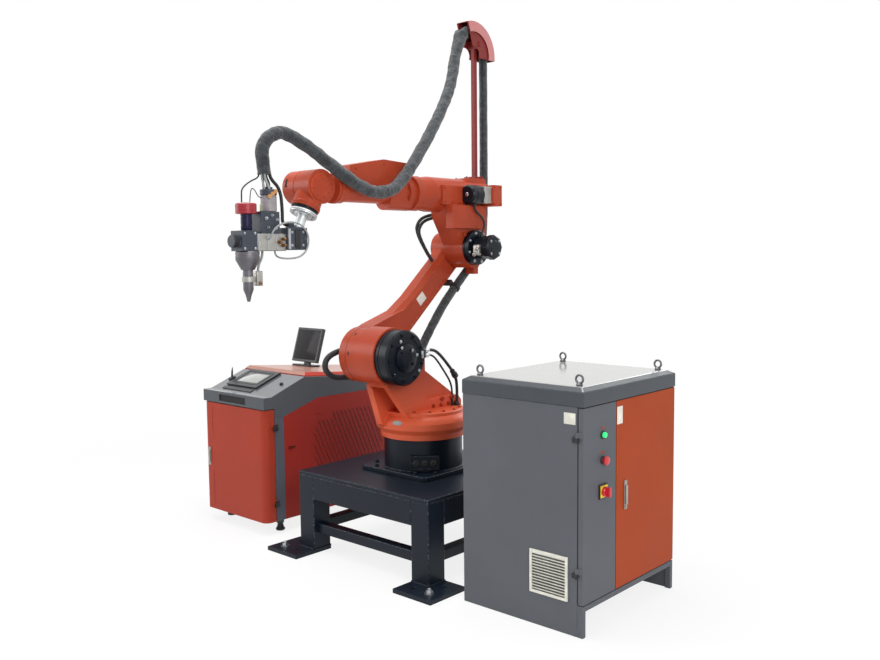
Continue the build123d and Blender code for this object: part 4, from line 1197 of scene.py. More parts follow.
dressed(gathered("elbow_lead_grommets", grommets), "elbow", "cover_black")
conduit_line = metres([(-45, 176, 1892), (-90, 176, 1892), (-100, 96, 1862)]) + [
    on_arm(-0.232, 0.725, -0.1), on_arm(-0.0423, 0.725, -0.1)
]
strands = [
    tube("strand", [p + Vector((aside, 0, -aside)) for p in conduit_line], 0.0092, 18, 16, ribbed(0.04))
    for aside in (-0.0085, 0.0085)
]
conduit = gathered("elbow_conduit_pair", strands)
conduit.data.materials.append(finishes["cable_rubber"])
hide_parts("elbow_conduit")
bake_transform(conduit)

# Hose post, arch and clamps


def outer_band(middle, way):
    """Whether a face lies on the arch's rolled outer band or on that band's right side: these faces get a
    painted highlight.
    """
    on_side = way.x > 0.9 and middle.x > 0.0445
    on_back = way.z > 0.1 and abs(way.x) < 0.7 and (middle - arch_middle).yz.length > 0.17
    return middle.z > 2.8 and (on_side or on_back)


# the arch's outer band carries a painted highlight
soften("hose_post", 0.0022, finish=arch_paint, painted_light_where=outer_band)
screws(
    "post_foot_bolts",
    [facing((x, y, forearm_z + 0.118), Z) for x in (-0.034, 0.034) for y in (0.437, 0.489)],
    0.005,
    "elbow",
    "post_red",
)
screws(
    "arch_bolts",
    [facing((0.0392, y, z), X) for y, z in ((0.470, 2.888), (0.470, 2.905))],
    0.005,
    "elbow",
    "post_red",
)


# Hose package: fabric sleeves that follow the arm from the turntable to the head
back_points = metres([(0, 555, 2023.7), (0, 555, 1905), (-14, 551, 1712)]) + [
    on_arm(hose_rear, 0.830, hose_side), on_arm(hose_rear, 0.7003, hose_side)
]
arm_points = [
    on_arm(hose_rear, 0.700, hose_side),
    on_arm(hose_rear, 0.580, hose_side),
    on_arm(0.180, 0.3956, hose_side),
] + metres([(-14, -2.3, 1132.7), (-14, -60, 1039)])
rise_points = metres(
    [
        (0, 555, 2024), (0, 555, 2440), (0, 555, 2837), (0, 548, 2945), (0, 465, 2983),
        (0, 400, 2972), (0, 359.4, 2937),
    ]
)
front_points = metres(
    [
        (0, 359.4, 2937.0), (0, 304.4, 2841.7), (66, 184, 2562), (134, -282, 2032),
        (134, -438, 1984), (122, -565, 2006), (24, -935, 2266), (6, -1036, 2240), (0, -1082, 2170),
        (0, -1066, 2095), (0, -1066, 2055),
    ]
)


def sleeve(name, points, radius, amount=0.05, **ends):
    piece = tube(name, points, radius, 36, 26, puckered(amount, **ends))
    piece.data.materials.append(finishes["sheath"])
    return piece


def cut_at(piece, name, point, way):
    """Keeps the part of a copied sleeve that lies behind a plane, with its end left open."""
    part = bpy.data.objects.new(name, piece.data.copy())
    bpy.context.scene.collection.objects.link(part)
    only(part)
    bpy.ops.object.mode_set(mode="EDIT")
    bpy.ops.mesh.select_all(action="SELECT")
    bpy.ops.mesh.bisect(plane_co=point, plane_no=way, clear_outer=True)
    bpy.ops.object.mode_set(mode="OBJECT")
    return part


rise = sleeve("rise_sleeve", rise_points, 0.0245, 0.05)
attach(rise, "elbow")
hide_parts("hose_rise")
back = sleeve("back_sleeve", back_points, 0.0245, 0.07)
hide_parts("hose_back")
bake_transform(back)
along_arm = sleeve("arm_sleeve", arm_points, 0.0245, 0.07)
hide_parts("hose_arm")
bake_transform(along_arm)
gland_way = Vector((0, 0.583, 0.812))
gland = turned(
    "sleeve_gland",
    Vector((hose_side, -0.060, 1.039)) - gland_way * 0.004,
    gland_way,
    0.036,
    [(0.008, 0.036), (0, 0.031), (0.014, 0.031), (0.003, 0.028)],
    36,
)
dressed(gland, "turntable", "cover_black")

front = sleeve("front_sleeve_whole", front_points, 0.0315, 0.13, flare=0.30, lip=0.03)
low_cut = Vector((0.133, -0.40, 1.995))
high_cut = Vector((0.03, -0.905, 2.27))
upper = cut_at(front, "front_sleeve_upper", low_cut, (0.0, -1.0, -0.1))
lower = cut_at(front, "front_sleeve_lower", low_cut, (0.0, 1.0, 0.1))
middle = cut_at(lower, "front_sleeve_middle", high_cut, (0.0, -1.0, 0.0))
head_end = cut_at(lower, "front_sleeve_head", high_cut, (0.0, 1.0, 0.0))
for unused in (front, lower):
    bpy.data.objects.remove(unused)
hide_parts("hose_front")
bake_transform(upper)
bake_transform(middle)
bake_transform(head_end)

# Forearm and hand
soften("forearm", 0.009, segments=3)
screws(
    "forearm_neck_bolts",
    ring_places((0, -0.1553, forearm_z), -Y, 0.072, 8, 0.35),
    0.005,
    "forearm",
    "robot_orange",
)
screws(
    "cover_bolts",
    [
        facing((0.062, y, forearm_z + z), X)
        for y, z in ((-0.165, 0.125), (-0.165, 0.045), (-0.34, 0.140), (-0.54, 0.105), (-0.57, 0.045))
    ],
    0.0045,
    "forearm",
    "robot_orange",
)
seam = turned(
    "wrist_seam",
    (-0.0464, wrist.y, wrist.z),
    X,
    0.0835,
    [(0, 0.0856), (0.0026, 0.0856), (0, 0.0835)],
    72,
)
dressed(seam, "forearm", "robot_orange", seam_and_painted_shade_orange)
# painted shade: a black slab stands for the hollow slot
slit = slab("wrist_slit", (-0.1080, -0.0872, -0.021), (-0.0960, -0.0842, 0.021), 0.0012)
slit.data.transform(Matrix.Translation(wrist) @ Matrix.Rotation(radians(-14), 4, "X"))
dressed(slit, "forearm", "cover_black", gap_black_and_painted_shade)
wrist_ring = turned(
    "wrist_ring",
    (0, -0.6585, forearm_z),
    Y,
    0.0735,
    [
        (0.002, 0.0755), (0.009, 0.0765), (0, 0.0745), (0.004, 0.0745), (0, 0.0765),
        (0.012, 0.0765), (0.005, 0.0735),
    ],
    56,
)
dressed(wrist_ring, "forearm", "robot_orange")
soften("hand", 0.007, segments=3)
side_cover = turned(
    "wrist_side_cover",
    (-0.1302, wrist.y, wrist.z),
    -X,
    0.078,
    [(0.004, 0.078), (0.004, 0.070), (0, 0.048), (0.002, 0.046), (0, 0.010)],
    56,
)
dressed(side_cover, "forearm", "motor_black")
screws("side_cover_bolts", ring_places((-0.1375, wrist.y, wrist.z), -X, 0.060, 6, 0.2), 0.0045, "forearm")
right_cover = turned(
    "wrist_right_cover",
    (0.0702, wrist.y, wrist.z),
    X,
    0.070,
    [(0.003, 0.070), (0.003, 0.064), (0, 0.040), (-0.002, 0.038), (0, 0.010)],
    56,
)
dressed(right_cover, "hand", "robot_orange")
screws(
    "right_cover_bolts",
    ring_places((0.0745, wrist.y, wrist.z), X, 0.054, 8, 0.2),
    0.004,
    "hand",
    "robot_orange",
)
grooves = turned(
    "hand_groove_ring",
    wrist + tool_way * 0.096,
    tool_way,
    0.0705,
    [
        (0.005, 0.0722), (0.006, 0.0722), (0, 0.0702), (0.003, 0.0702), (0, 0.0722),
        (0.006, 0.0722), (0.004, 0.069),
    ],
    56,
)
dressed(grooves, "hand", "robot_orange")

# Tool flange and laser head
black_ring = turned(
    "tool_ring_form",
    wrist + tool_way * 0.1185,
    tool_way,
    0.064,
    [(0.002, 0.067), (0.005, 0.067), (0, 0.064), (0.003, 0.064), (0, 0.067), (0.0075, 0.067)],
    56,
)
dressed(black_ring, "tool", "motor_black", stands_for=("tool_ring",))
disc = turned(
    "tool_flange_disc",
    wrist + tool_way * 0.1364,
    tool_way,
    0.066,
    [
        (0.002, 0.069), (0.007, 0.069), (0, 0.065), (0.003, 0.065), (0, 0.068), (0.004, 0.067),
        (0, 0.040), (0.004, 0.038), (0, 0.026),
    ],
    72,
)
shaft_end = (forearm_z - 1.8062) / cos(tilt)
shaft = turned(
    "tool_shaft",
    wrist + tool_way * 0.152,
    tool_way,
    0.026,
    [(0.006, 0.026), (0, 0.0245), (shaft_end - 0.152 - 0.012, 0.0245), (0, 0.028), (0.020, 0.028)],
    48,
)
only(shaft)
bpy.ops.object.mode_set(mode="EDIT")
bpy.ops.mesh.select_all(action="SELECT")
bpy.ops.mesh.bisect(plane_co=(0, 0, 1.8061), plane_no=(0, 0, -1), use_fill=True, clear_outer=True)
bpy.ops.object.mode_set(mode="OBJECT")
dressed(gathered("tool_flange_form", [disc, shaft]), "tool", "alloy", pale_ring, stands_for=("tool_flange",))
screws("tool_flange_bolts", ring_places(wrist + tool_way * 0.1524, tool_way, 0.054, 8, 0.2), 0.0045, "tool")
soften("head_bracket", 0.004, segments=3, shape=sunk(0.010, 0.003, X, 0.004))
strip = slab("strip", (0.0552, -0.976, 1.704), (0.0592, -0.962, 1.802), 0.0012)
dressed(strip, "tool", "alloy")
band = slab("band", (0.0505, -0.932, 1.706), (0.0565, -0.902, 1.800), 0.002)
dressed(band, "tool", "cover_black")
screws(
    "bracket_bolts",
    [facing((0.0522, y, z), X) for y in (-0.950, -0.882) for z in (1.722, 1.785)],
    0.0045,
    "tool",
)
soften("head_body", 0.003, segments=2, finish=matt_alloy)
body_lines = [
    slab("line", (0.0415, -1.140 + 0.052 * i, 1.699), (0.0440, -1.134 + 0.052 * i, 1.774), 0.0008)
    for i in range(3)
]
dressed(gathered("head_body_seams", body_lines), "tool", "alloy")
fittings = []
for y, z in ((-1.000, 1.752), (-1.000, 1.722), (-1.022, 1.737)):
    hexed = turned(
        "fitting",
        (0.0421, y, z),
        X,
        0.0085,
        [(0.008, 0.0085), (0, 0.006), (0.006, 0.006), (0, 0.0072), (0.010, 0.0072), (0.003, 0.004)],
        6,
    )
    fittings.append(hexed)
dressed(gathered("brass_fittings", fittings), "tool", "bright_steel", brass)
knob_face_y, knob_z, knob_share = -1.2302, 1.741, 0.74


def slim_knob(piece):
    only(piece)
    bpy.ops.object.mode_set(mode="EDIT")
    faces_where(piece, lambda middle, way, area: middle.y < knob_face_y)
    bpy.ops.transform.resize(value=(knob_share, 1, knob_share), center_override=(0, -1.246, knob_z))
    bpy.ops.object.mode_set(mode="OBJECT")


soften("head_optics", 0.004, segments=3, shape=slim_knob)
screws(
    "optics_bolts",
    [facing((0.0462, y, z), X) for y in (-1.218, -1.160) for z in (1.708, 1.778)],
    0.004,
    "tool",
)
knob = turned(
    "focus_knob",
    (0, knob_face_y, knob_z),
    -Y,
    0.024,
    [
        (0.004, 0.029), (0.006, 0.029), (0, 0.027), (0.003, 0.027), (0, 0.0295), (0.015, 0.0295),
        (0.003, 0.027), (0, 0.016), (-0.003, 0.014),
    ],
    48,
)
dressed(knob, "tool", "slate_paint", finishes["cover_black"])
ports = []
for y, z, r in (
    (-1.094, 1.848, 0.008), (-1.060, 1.862, 0.006), (-1.032, 1.842, 0.007), (-1.085, 1.806, 0.006),
    (-1.040, 1.802, 0.007),
):
    ports.append(
        turned(
            "port",
            (0.0402, y, z),
            X,
            r,
            [(0.006, r), (0, r * 0.7), (0.008, r * 0.7), (0.002, r * 0.5)],
            16,
        )
    )
dressed(gathered("sensor_ports", ports), "tool", "bright_steel")
camera_body = turned(
    "camera_form",
    (0, camera_y, 1.7902),
    Z,
    0.024,
    [
        (0.004, 0.026), (0.020, 0.026), (0, 0.024), (0.004, 0.024), (0, 0.026), (0.034, 0.026),
        (0, 0.024), (0.003, 0.024), (0, 0.026), (0.011, 0.026),
    ],
    48,
)
dressed(camera_body, "tool", "camera_blue", stands_for=("camera",))
cap_form = turned(
    "camera_cap_form",
    (0, camera_y, 1.8672),
    Z,
    0.045,
    [
        (0.003, 0.049), (0.012, 0.049), (0, 0.0475), (0.003, 0.0475), (0, 0.049), (0.026, 0.049),
        (0.005, 0.044), (0, 0.018), (0.003, 0.016),
    ],
    64,
)
dressed(cap_form, "tool", "cap_red", stands_for=("camera_cap",))
column = turned(
    "collimator_form",
    (0, collimator_y, 1.8802),
    Z,
    0.034,
    [
        (0.004, 0.038), (0.036, 0.038), (0, 0.0365), (0.003, 0.0365), (0, 0.038), (0.030, 0.038),
        (0.004, 0.034),
    ],
    56,
)
dressed(column, "tool", "cream", column_grey, stands_for=("collimator",))
crown = turned(
    "collimator_crown",
    (0, collimator_y, 1.9575),
    Z,
    0.036,
    [
        (0.003, 0.040), (0.010, 0.040), (0, 0.037), (0.003, 0.037), (0, 0.040), (0.009, 0.040),
        (0.003, 0.036), (0, 0.020), (0.010, 0.020), (0.002, 0.014),
    ],
    56,
)
dressed(crown, "tool", "slate_paint")
lime = slab("lime_strip", (-0.026, -1.078, 1.882), (-0.014, -1.070, 1.916), 0.0012)
dressed(lime, "tool", "cream", fitting_lime)
taps = [
    turned(
        "tap",
        (0.028, -1.062 + 0.018 * i, 1.951 + 0.012 * i),
        Vector((1, -0.5, 0)),
        0.009,
        [(0.008, 0.009), (0, 0.007), (0.005, 0.007), (0, 0.010), (0.006, 0.010)],
        12,
    )
    for i in range(3)
]
dressed(gathered("water_taps", taps), "tool", "bright_steel", brass)
tip = turned(
    "nozzle_form",
    (0, nozzle_y, 1.6958),
    -Z,
    0.052,
    [
        (0.004, 0.056), (0.014, 0.056), (0, 0.0535), (0.003, 0.0535), (0, 0.056), (0.020, 0.056),
        (0.046, 0.031), (0, 0.024), (0.006, 0.024), (0, 0.0225), (0.003, 0.0225), (0, 0.024),
        (0.036, 0.024), (0, 0.0225), (0.003, 0.0225), (0, 0.024), (0.044, 0.024), (0.026, 0.014),
        (0.030, 0.007), (0, 0.003), (-0.006, 0.0025),
    ],
    56,
)
dressed(tip, "tool", "alloy", dull_steel, stands_for=("nozzle",))
jet = slab("jet", (-0.014, -1.132, 1.533), (0.014, -1.098, 1.603), 0.003, 3)
jet_arm = slab("arm", (-0.008, -1.150, 1.556), (0.008, -1.130, 1.576), 0.002)
collar = turned(
    "collar",
    (0, nozzle_y, 1.552),
    Z,
    0.0275,
    [(0.002, 0.029), (0.022, 0.029), (0.002, 0.0275), (0, 0.0242)],
    40,
)
dressed(
    gathered("gas_jet_form", [jet, jet_arm, collar]),
    "tool",
    "slate_paint",
    matt_alloy,
    stands_for=("gas_jet",),
)
tip_nut = turned("jet_nut", (0.0142, -1.115, 1.546), X, 0.009, [(0.004, 0.009), (0.002, 0.006)], 6)
dressed(tip_nut, "tool", "bright_steel", brass)
pipe = tube(
    "gas_pipe",
    metres([(0, -1088, 1695.7), (0, -1088, 1668), (0, -1115, 1628), (0, -1115, 1603)]),
    0.006,
    14,
    12,
)
dressed(pipe, "tool", "slate_paint", pale_cable)
leads = []
for points, radius in (
    (
        [
            (-10, -1088, 2060), (-10, -1088, 2040), (-10, -1140, 2020), (-10, -1188, 1985),
            (-10, -1190, 1950), (-10, -1190, 1920),
        ],
        0.0035,
    ),
    ([(0, -1082.3, 1945), (0, -1102, 1945), (5, -1128, 1985), (12, -1156, 1985), (12, -1160, 1920)], 0.0022),
    ([(0, -1060, 2060), (0, -1060, 2038), (0, -1044, 2018), (0, -1044, 1996)], 0.010),
    (
        [
            (14, -1045, 2060), (14, -1045, 2038), (14, -984, 1990), (8, -970, 1880),
            (0, -967, 1821), (0, -937.3, 1821),
        ],
        0.008,
    ),
):
    leads.append(tube("lead", metres(points), radius, 12, 12))
dressed(gathered("head_leads", leads), "tool", "cable_rubber", stands_for=("tool_cables",))
pale_leads = []
for points, radius in (
    (
        [
            (42.3, -1085, 1750), (60, -1085, 1750), (64, -1062, 1806), (68, -985, 1836),
            (68, -905, 1824), (68, -862, 1776), (68, -864, 1712), (68, -908, 1668),
            (66, -975, 1658), (40, -1020, 1662), (20, -1030, 1678), (20, -1030, 1695.7),
        ],
        0.0045,
    ),
    ([(18, -1076, 2058), (18, -1076, 2036), (24, -1066, 2010), (28, -1058, 1984)], 0.0055),
    ([(-16, -1064, 2058), (-16, -1062, 2034), (-20, -1058, 2006), (-22, -1054, 1984)], 0.0055),
    ([(4, -1084, 2058), (4, -1084, 2036), (8, -1078, 2010), (10, -1072, 1984)], 0.0045),
):
    pale_leads.append(tube("lead", metres(points), radius, 12, 12))
dressed(gathered("pale_head_leads", pale_leads), "tool", "cable_rubber", pale_cable)

# Control cabinet
soften("cabinet_walls", 0.0025)
soften("cabinet_frame", 0.0025)
# painted highlight on the lid's top faces
soften("cabinet_lid", 0.004, segments=3, finish=lid_paint, painted_light_where=lambda middle, way: way.z > 0.9)
gasket = framed(
    "lid_gasket", (0.7155, -0.4755, 1.0105), (1.3895, 0.3265, 1.0158), (0, 0, -1), 0.02, 0.002, 0.0008
)
dressed(gasket, "cell", "cover_black", gap_black_and_painted_shade)
eye_form = turned(
    "collar", (0, 0, 0), Z, 0.014, [(0.003, 0.015), (0.004, 0.015), (0.004, 0.009), (0.002, 0.008)], 24
)
clear()
bpy.ops.mesh.primitive_torus_add(
    major_radius=0.018,
    minor_radius=0.005,
    major_segments=36,
    minor_segments=14,
    location=(0, 0, 0.028),
    rotation=(pi / 2, 0, 0),
)
bpy.ops.object.transform_apply(location=True, rotation=True, scale=True)
hook = smooth(bpy.context.object)
dressed(
    repeated(
        "lifting_eye_forms",
        gathered("eye", [eye_form, hook]),
        [Matrix.Translation((x, y, 1.1002)) for x in (0.773, 1.332) for y in (-0.418, 0.269)],
    ),
    "cell",
    "bright_steel",
    dull_steel,
    stands_for=("lifting_eyes",),
)
grille = framed(
    "grille_frame", (1.111, -0.4862, 0.150), (1.315, -0.4781, 0.348), (0, -1, 0), 0.012, 0.0055, 0.0008
)
slat_count, lowest_slat, slat_pitch, slat_height = 13, 0.1680, 0.0134, 0.0062
slats = []
for row in range(slat_count):
    z = lowest_slat + row * slat_pitch
    slats.append(
        outline(
            "slat",
            [
                (1.1235, -0.4812, z),
                (1.3025, -0.4812, z),
                (1.3025, -0.4856, z + slat_height),
                (1.1235, -0.4856, z + slat_height),
            ],
            (0, 0.0009, 0.0009),
            0.0003,
            1,
        )
    )
dressed(gathered("grille_form", [grille, *slats]), "cell", "grille_cream", stands_for=("air_grille",))
# painted shade: a dark slab behind the slats for the shade between them
shade = slab("grille_shade", (1.121, -0.4814, 0.160), (1.305, -0.4801, 0.338), 0.0003)
dressed(shade, "cell", "grille_cream", moulded("grille_painted_shade", srgb(78, 80, 76), 0.7))
tag = slab("bare_panel_tag", (1.292, -0.4788, 0.938), (1.352, -0.4779, 0.988), 0.0006)
dressed(tag, "cell", "grille_cream")
soften("narrow_door", 0.002, segments=2)
soften("wide_door", 0.002, segments=2)
seal = slab("door_seal", (1.3605, -0.4775, 0.150), (1.3662, 0.3285, 1.008), 0.001)
dressed(seal, "cell", "cover_black", gap_black_and_painted_shade)
stickers = slab("bare_door_tag", (1.3918, -0.205, 0.905), (1.3925, -0.158, 0.985), 0.0003)
dressed(stickers, "wide_door", "cream")
collars = []
for z in (start_z, stop_z):
    ring = turned(
        "ring",
        (on_door, controls_y, z),
        X,
        0.0185,
        [(0.002, 0.0185), (0.003, 0.0175), (0.002, 0.0155), (0, 0.0132), (-0.0067, 0.0130)],
        36,
    )
    collars.append(ring)
square = framed("square", (on_door, -0.357, 0.594), (1.3985, -0.293, 0.658), (1, 0, 0), 0.004, 0.001, 0.0012)
for ring in collars:
    ring.data.attributes.new("edge", "FLOAT", "FACE")
dressed(
    gathered("control_collars", [*collars, square]),
    "narrow_door",
    "cover_black",
    stands_for=("control_plates",),
)
yellow = slab("yellow_plate", (1.3980, -0.352, 0.599), (1.4018, -0.298, 0.653), 0.0012)
dressed(yellow, "narrow_door", "cover_black", switch_yellow)
labels = [slab("label", (1.3920, -0.340, z), (1.3926, -0.311, z + 0.009), 0.0002) for z in (0.905, 0.795)]
dressed(gathered("bare_labels", labels), "narrow_door", "door_orange")
green = turned(
    "start_lens",
    (1.3972, controls_y, start_z),
    X,
    0.0122,
    [(0.009, 0.0122), (0.003, 0.0112), (0.0015, 0.008), (0.0006, 0.003)],
    36,
)
dressed(green, "start_button", "button_green", stands_for=("start_button",))
mushroom = turned(
    "stop_mushroom",
    (1.3972, controls_y, stop_z),
    X,
    0.0115,
    [
        (0.010, 0.0115), (0, 0.0185), (0.002, 0.020), (0.006, 0.020), (0.004, 0.0175),
        (0.002, 0.012), (0.0006, 0.004),
    ],
    40,
)
dressed(mushroom, "stop_button", "button_red", stands_for=("stop_button",))
hub = turned(
    "hub",
    (1.4023, controls_y, switch_z),
    X,
    0.022,
    [(0.003, 0.0225), (0.006, 0.0215), (0.003, 0.0185)],
    40,
)
grip = outline(
    "grip",
    [
        (1.413, -0.3325, 0.6045), (1.413, -0.3175, 0.6045), (1.413, -0.3155, 0.626),
        (1.413, -0.3175, 0.6475), (1.413, -0.3325, 0.6475), (1.413, -0.3345, 0.626),
    ],
    (0.0225, 0, 0),
    0.003,
    3,
)
hub.data.attributes.new("edge", "FLOAT", "FACE")
dressed(gathered("rotary_handle", [hub, grip]), "main_switch", "button_red", stands_for=("rotary_switch",))
latch = framed(
    "latch_plate", (on_door, -0.145, 0.504), (1.3975, -0.122, 0.638), (1, 0, 0), 0.003, 0.002, 0.0012
)
pull = outline(
    "pull",
    [(1.3955, -0.141, 0.5265), (1.3955, -0.126, 0.5265), (1.3955, -0.126, 0.6155), (1.3955, -0.141, 0.6155)],
    (0.0095, 0, 0),
    0.0025,
    3,
)
keyhole = turned(
    "keyhole", (1.3975, -0.1335, 0.515), X, 0.006, [(0.002, 0.006), (0, 0.003), (-0.001, 0.0028)], 20
)
keyhole.data.attributes.new("edge", "FLOAT", "FACE")
dressed(
    gathered("wide_latch_form", [latch, pull, keyhole]),
    "wide_door",
    "chrome",
    matt_alloy,
    stands_for=("wide_latch",),
)
soften("door_hinges", 0.0008, segments=2)

# Laser cabinet
soften("laser_walls", 0.002)
soften("laser_post", 0.003)
soften("laser_chassis", 0.002)
# painted highlight on the console's upward faces
soften("laser_console", 0.006, segments=3, finish=console_paint, painted_light_where=lambda middle, way: way.z > 0.7)
scoop = framed(
    "handle_scoop", (-1.279, -0.4935, 0.777), (-1.009, -0.4862, 0.818), (0, -1, 0), 0.004, 0.005, 0.001
)
dressed(scoop, "cell", "cover_black", gap_black_and_painted_shade)
# painted highlight on the deck's top and front chamfer faces
soften(
    "laser_top",
    0.005,
    segments=3,
    finish=deck_paint,
    painted_light_where=lambda middle, way: way.z > 0.9 or (way.z > 0.3 and way.y < -0.3),
)
soften("laser_door", 0.003, segments=3)
for z_low, z_high in ((0.565, 0.730), (0.110, 0.330)):
    name = f"pressed_line_{int(z_low * 1000)}"
    dressed(
        slab(name, (-1.3605, -0.4952, z_low), (-1.3565, -0.4936, z_high), 0.0006),
        "laser_door",
        "laser_red",
    )
lock = framed("lock", (-1.406, -0.499, 0.356), (-1.382, -0.4941, 0.470), (0, -1, 0), 0.003, 0.002, 0.0012)
lock_pull = outline(
    "pull",
    [(-1.401, -0.4972, 0.372), (-1.387, -0.4972, 0.372), (-1.387, -0.4972, 0.454), (-1.401, -0.4972, 0.454)],
    (0, -0.0088, 0),
    0.0024,
    3,
)
dressed(
    gathered("laser_latch_form", [lock, lock_pull]),
    "laser_door",
    "chrome",
    matt_alloy,
    stands_for=("laser_latch",),
)
foot_places = [(x, y) for x in (-1.390, -0.885) for y in (-0.347, 0.646)]
foot_form = turned(
    "foot",
    (0, 0, 0),
    Z,
    0.024,
    [
        (0.004, 0.028), (0.008, 0.028), (0.006, 0.022), (0.026, 0.016), (0, 0.020), (0.004, 0.023),
        (0.029, 0.026),
    ],
    32,
)
dressed(
    repeated("laser_foot_forms", foot_form, [Matrix.Translation((x, y, 0)) for x, y in foot_places]),
    "cell",
    "cover_black",
    stands_for=("laser_feet",),
)
louvre_columns, louvre_pitch, first_louvre_y = 17, 0.0340, -0.118
louvre_rows, row_pitch, first_louvre_z = 10, 0.0375, 0.312
louvres = []
for row in range(louvre_rows):
    for column in range(louvre_columns):
        y = first_louvre_y + column * louvre_pitch + 0.017 * (row % 2)
        z = first_louvre_z + row * row_pitch
        below_trim = z + 0.034 <= 0.640 + min(0.060, (y + 0.12) * 0.34)
        if below_trim:
            louvres.append((y, z))
slot_form = outline(
    "slot",
    [(0, 0.022, 0), (0, 0.030, 0), (0, 0.008, 0.0335), (0, 0, 0.0335)],
    (0.0030, 0, 0),
    0.0008,
    1,
)
dressed(
    repeated("side_louvres", slot_form, [Matrix.Translation((laser_side, y, z)) for y, z in louvres]),
    "cell",
    "laser_red",
    moulded("louvre_shade", srgb(104, 24, 22), 0.6),
)
# painted shade: the side pull is dark for the shade in its recess
notch = outline(
    "side_pull",
    [
        (-0.8254, -0.318, 0.522), (-0.8254, -0.262, 0.517), (-0.8254, -0.262, 0.509),
        (-0.8254, -0.300, 0.500), (-0.8254, -0.318, 0.505),
    ],
    (0.0045, 0, 0),
    0.001,
)
dressed(notch, "cell", "laser_red", seam_and_painted_shade_orange)
strip = slab("side_strip", (laser_side, -0.092, 0.690), (-0.8215, -0.036, 0.696), 0.0012)
dressed(strip, "cell", "laser_red")
hinge_covers = [
    slab(
        "cover", (-0.8315, -0.4300, z - 0.0215), (-0.8075, -0.4030, z + 0.0215), 0.003, 3
    ) for z in (0.187, 0.651)
]
dressed(gathered("laser_hinge_covers", hinge_covers), "laser_door", "cover_black")

# Touch screen on the console's slope
console_slope = 0.3636
slope = Matrix.Translation((0, -0.434, 0.836)) @ Matrix.Rotation(console_slope, 4, "X")


def on_slope(piece):
    piece.data.transform(slope)
    return piece


bezel = framed("bezel", (-1.350, 0.055, 0.0002), (-1.045, 0.262, 0.014), (0, 0, 1), 0.026, 0.004, 0.002)
dressed(on_slope(bezel), "cell", "screen_black", stands_for=("touch_screen",))
inner = framed(
    "inner_frame", (-1.312, 0.088, 0.0092), (-1.083, 0.230, 0.0118), (0, 0, 1), 0.016, 0.0010, 0.0008
)
dressed(on_slope(inner), "cell", "screen_black")
pane = slab("touch_pane", (-1.295, 0.105, 0.0100), (-1.100, 0.213, 0.0122), 0.0005)
dressed(on_slope(pane), "cell", "screen_black", touch_glass)
ledge = outline(
    "keyboard_ledge",
    [(-1.345, 0.012, 0.0004), (-1.050, 0.012, 0.0004), (-1.050, 0.040, 0.0004), (-1.345, 0.040, 0.0004)],
    (0, 0, 0.006),
    0.002,
    2,
)
dressed(on_slope(ledge), "cell", "screen_black")
button = turned(
    "console_button",
    (-0.910, 0.150, 0.0003),
    Z,
    0.013,
    [(0.004, 0.013), (0, 0.010), (0.006, 0.010), (0.002, 0.008)],
    28,
)
dressed(on_slope(button), "cell", "screen_black")
stylus = turned(
    "stylus",
    (-1.392, 0.130, 0.012),
    Vector((0.1, 0.35, 0.9)),
    0.004,
    [(0.008, 0.006), (0.030, 0.006), (0.020, 0.0035), (0.012, 0.001)],
    16,
)
holder = slab("holder", (-1.408, 0.110, 0.0003), (-1.372, 0.148, 0.016), 0.003)
dressed(on_slope(gathered("stylus_and_holder", [stylus, holder])), "cell", "screen_black")

# Pendant: a monitor that leans back on its stand
deck_lean = -0.0921
top_slope = (0.850 - 0.932) / (0.706 + 0.182)
pendant_base = Vector((-1.311, 0.215, 0.932 + 0.026 + top_slope * (0.215 + 0.182)))
leaning = Matrix.Translation(pendant_base) @ Matrix.Rotation(radians(-17), 4, "X")
level = Matrix.Translation(pendant_base) @ Matrix.Rotation(deck_lean, 4, "X")
case = framed("case", (-0.128, -0.016, 0.028), (0.128, 0.010, 0.263), (0, -1, 0), 0.016, 0.003, 0.003)
back_shell = slab("back_shell", (-0.100, 0.006, 0.055), (0.100, 0.018, 0.235), 0.006, 3)
neck = outline(
    "neck",
    [(-0.030, 0.012, 0.000), (0.030, 0.012, 0.000), (0.022, 0.012, 0.120), (-0.022, 0.012, 0.120)],
    (0, 0.018, 0),
    0.003,
)
monitor = gathered("monitor_case", [case, back_shell, neck])
monitor.data.transform(leaning)
foot_plate = outline(
    "foot",
    [(-0.090, -0.035, 0.0003), (0.090, -0.035, 0.0003), (0.078, 0.070, 0.0003), (-0.078, 0.070, 0.0003)],
    (0, 0, 0.0115),
    0.003,
    3,
)
foot_plate.data.transform(level)
dressed(gathered("pendant_form", [monitor, foot_plate]), "cell", "screen_black", stands_for=("pendant",))
glass = slab("monitor_pane", (-0.1115, -0.0142, 0.0445), (0.1115, -0.0126, 0.2465), 0.0004)
glass.data.transform(leaning)
dressed(glass, "cell", "screen_black", monitor_glass)

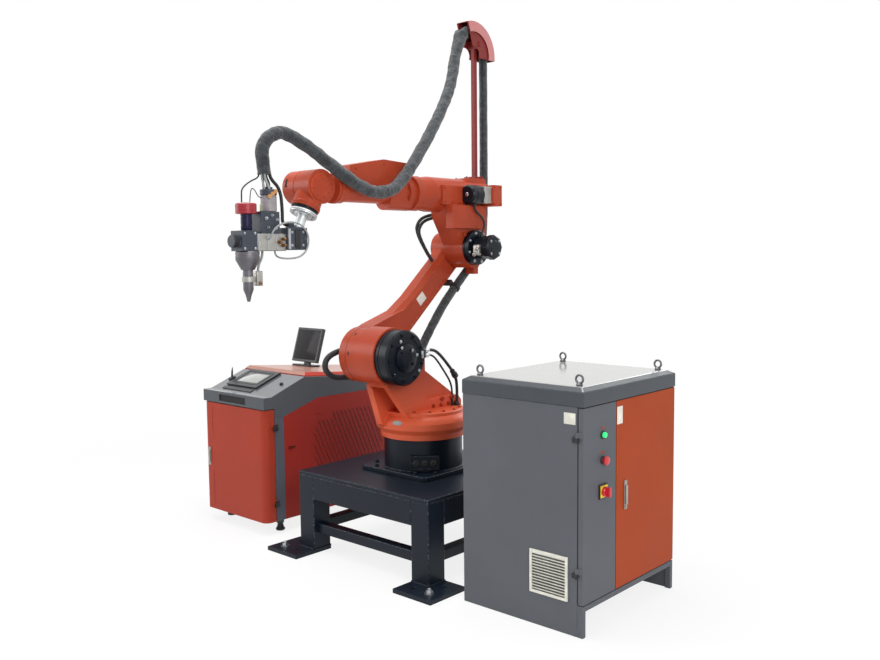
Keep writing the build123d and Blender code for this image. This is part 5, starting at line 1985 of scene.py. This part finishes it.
# Floor, backdrop and light
clear()
bpy.ops.mesh.primitive_plane_add(size=1.0, location=(0, 0, 0))
floor = bpy.context.object
floor.name = "floor"
floor_width = 26.0
floor.data.transform(Matrix.Diagonal((floor_width, floor_width, 1, 1)))
paper = Finish("floor_paper", Roughness=0.9, Specular_IOR_Level=0.1)
paper.drive("Base Color", paper.mix(paper.noise(0.8, 2.0), srgb(246, 246, 246), srgb(250, 250, 250)))
glow = paper.node("Emission", {}, {"Color": (1.0, 1.0, 1.0), "Strength": 1.0})
blend_shader = paper.node("MixShader")
output = paper.tree.nodes["Material Output"]
paper.tree.links.new(paper.shader.outputs[0], blend_shader.inputs[1])
paper.tree.links.new(glow.outputs[0], blend_shader.inputs[2])
paths = paper.node("LightPath")
away = paper.node("VectorMath", {"operation": "LENGTH"}, {0: paper.place}).outputs["Value"]
shown = (
    Value(paper, paths.outputs["Is Camera Ray"]) + Value(paper, paths.outputs["Is Glossy Ray"])
).clamped()
seen = shown * (paper.between(2.2, 4.6, away) * 0.16 + 0.84)
paper.join(seen, blend_shader.inputs[0])
paper.tree.links.new(blend_shader.outputs[0], output.inputs["Surface"])
floor.data.materials.append(paper.material)

world = bpy.data.worlds.new("studio")
bpy.context.scene.world = world
world.use_nodes = True
sky = world.node_tree
background = sky.nodes["Background"]
background.inputs["Color"].default_value = (1.0, 1.0, 1.0, 1.0)
background.inputs["Strength"].default_value = 0.42
white = sky.nodes.new("ShaderNodeBackground")
white.inputs["Color"].default_value = (1.0, 1.0, 1.0, 1.0)
white.inputs["Strength"].default_value = 1.0
either = sky.nodes.new("ShaderNodeMixShader")
rays = sky.nodes.new("ShaderNodeLightPath")
shown_rays = sky.nodes.new("ShaderNodeMath")
shown_rays.operation = "MAXIMUM"
sky.links.new(rays.outputs["Is Camera Ray"], shown_rays.inputs[0])
sky.links.new(rays.outputs["Is Glossy Ray"], shown_rays.inputs[1])
sky.links.new(shown_rays.outputs[0], either.inputs[0])
sky.links.new(background.outputs[0], either.inputs[1])
sky.links.new(white.outputs[0], either.inputs[2])
sky.links.new(either.outputs[0], sky.nodes["World Output"].inputs["Surface"])


def lamp(name, place, aim, size, power):
    data = bpy.data.lights.new(name, "AREA")
    data.shape = "RECTANGLE"
    data.size, data.size_y = size
    data.energy = power
    made = bpy.data.objects.new(name, data)
    bpy.context.scene.collection.objects.link(made)
    made.location = place
    made.rotation_euler = (Vector(aim) - Vector(place)).to_track_quat("-Z", "Y").to_euler()


lamp("top_light", (-0.2, -0.6, 5.8), (0.0, 0.0, 1.0), (4.0, 4.0), 230.0)
lamp("left_light", (-4.2, -4.0, 3.2), (0.0, 0.0, 1.2), (2.6, 2.6), 80.0)
lamp("right_light", (5.0, -2.2, 3.0), (0.0, 0.2, 1.0), (2.4, 2.4), 95.0)
lamp("back_light", (0.5, 5.0, 3.6), (0.0, 0.0, 1.4), (3.0, 2.0), 60.0)

bpy.context.scene.view_settings.view_transform = "Standard"
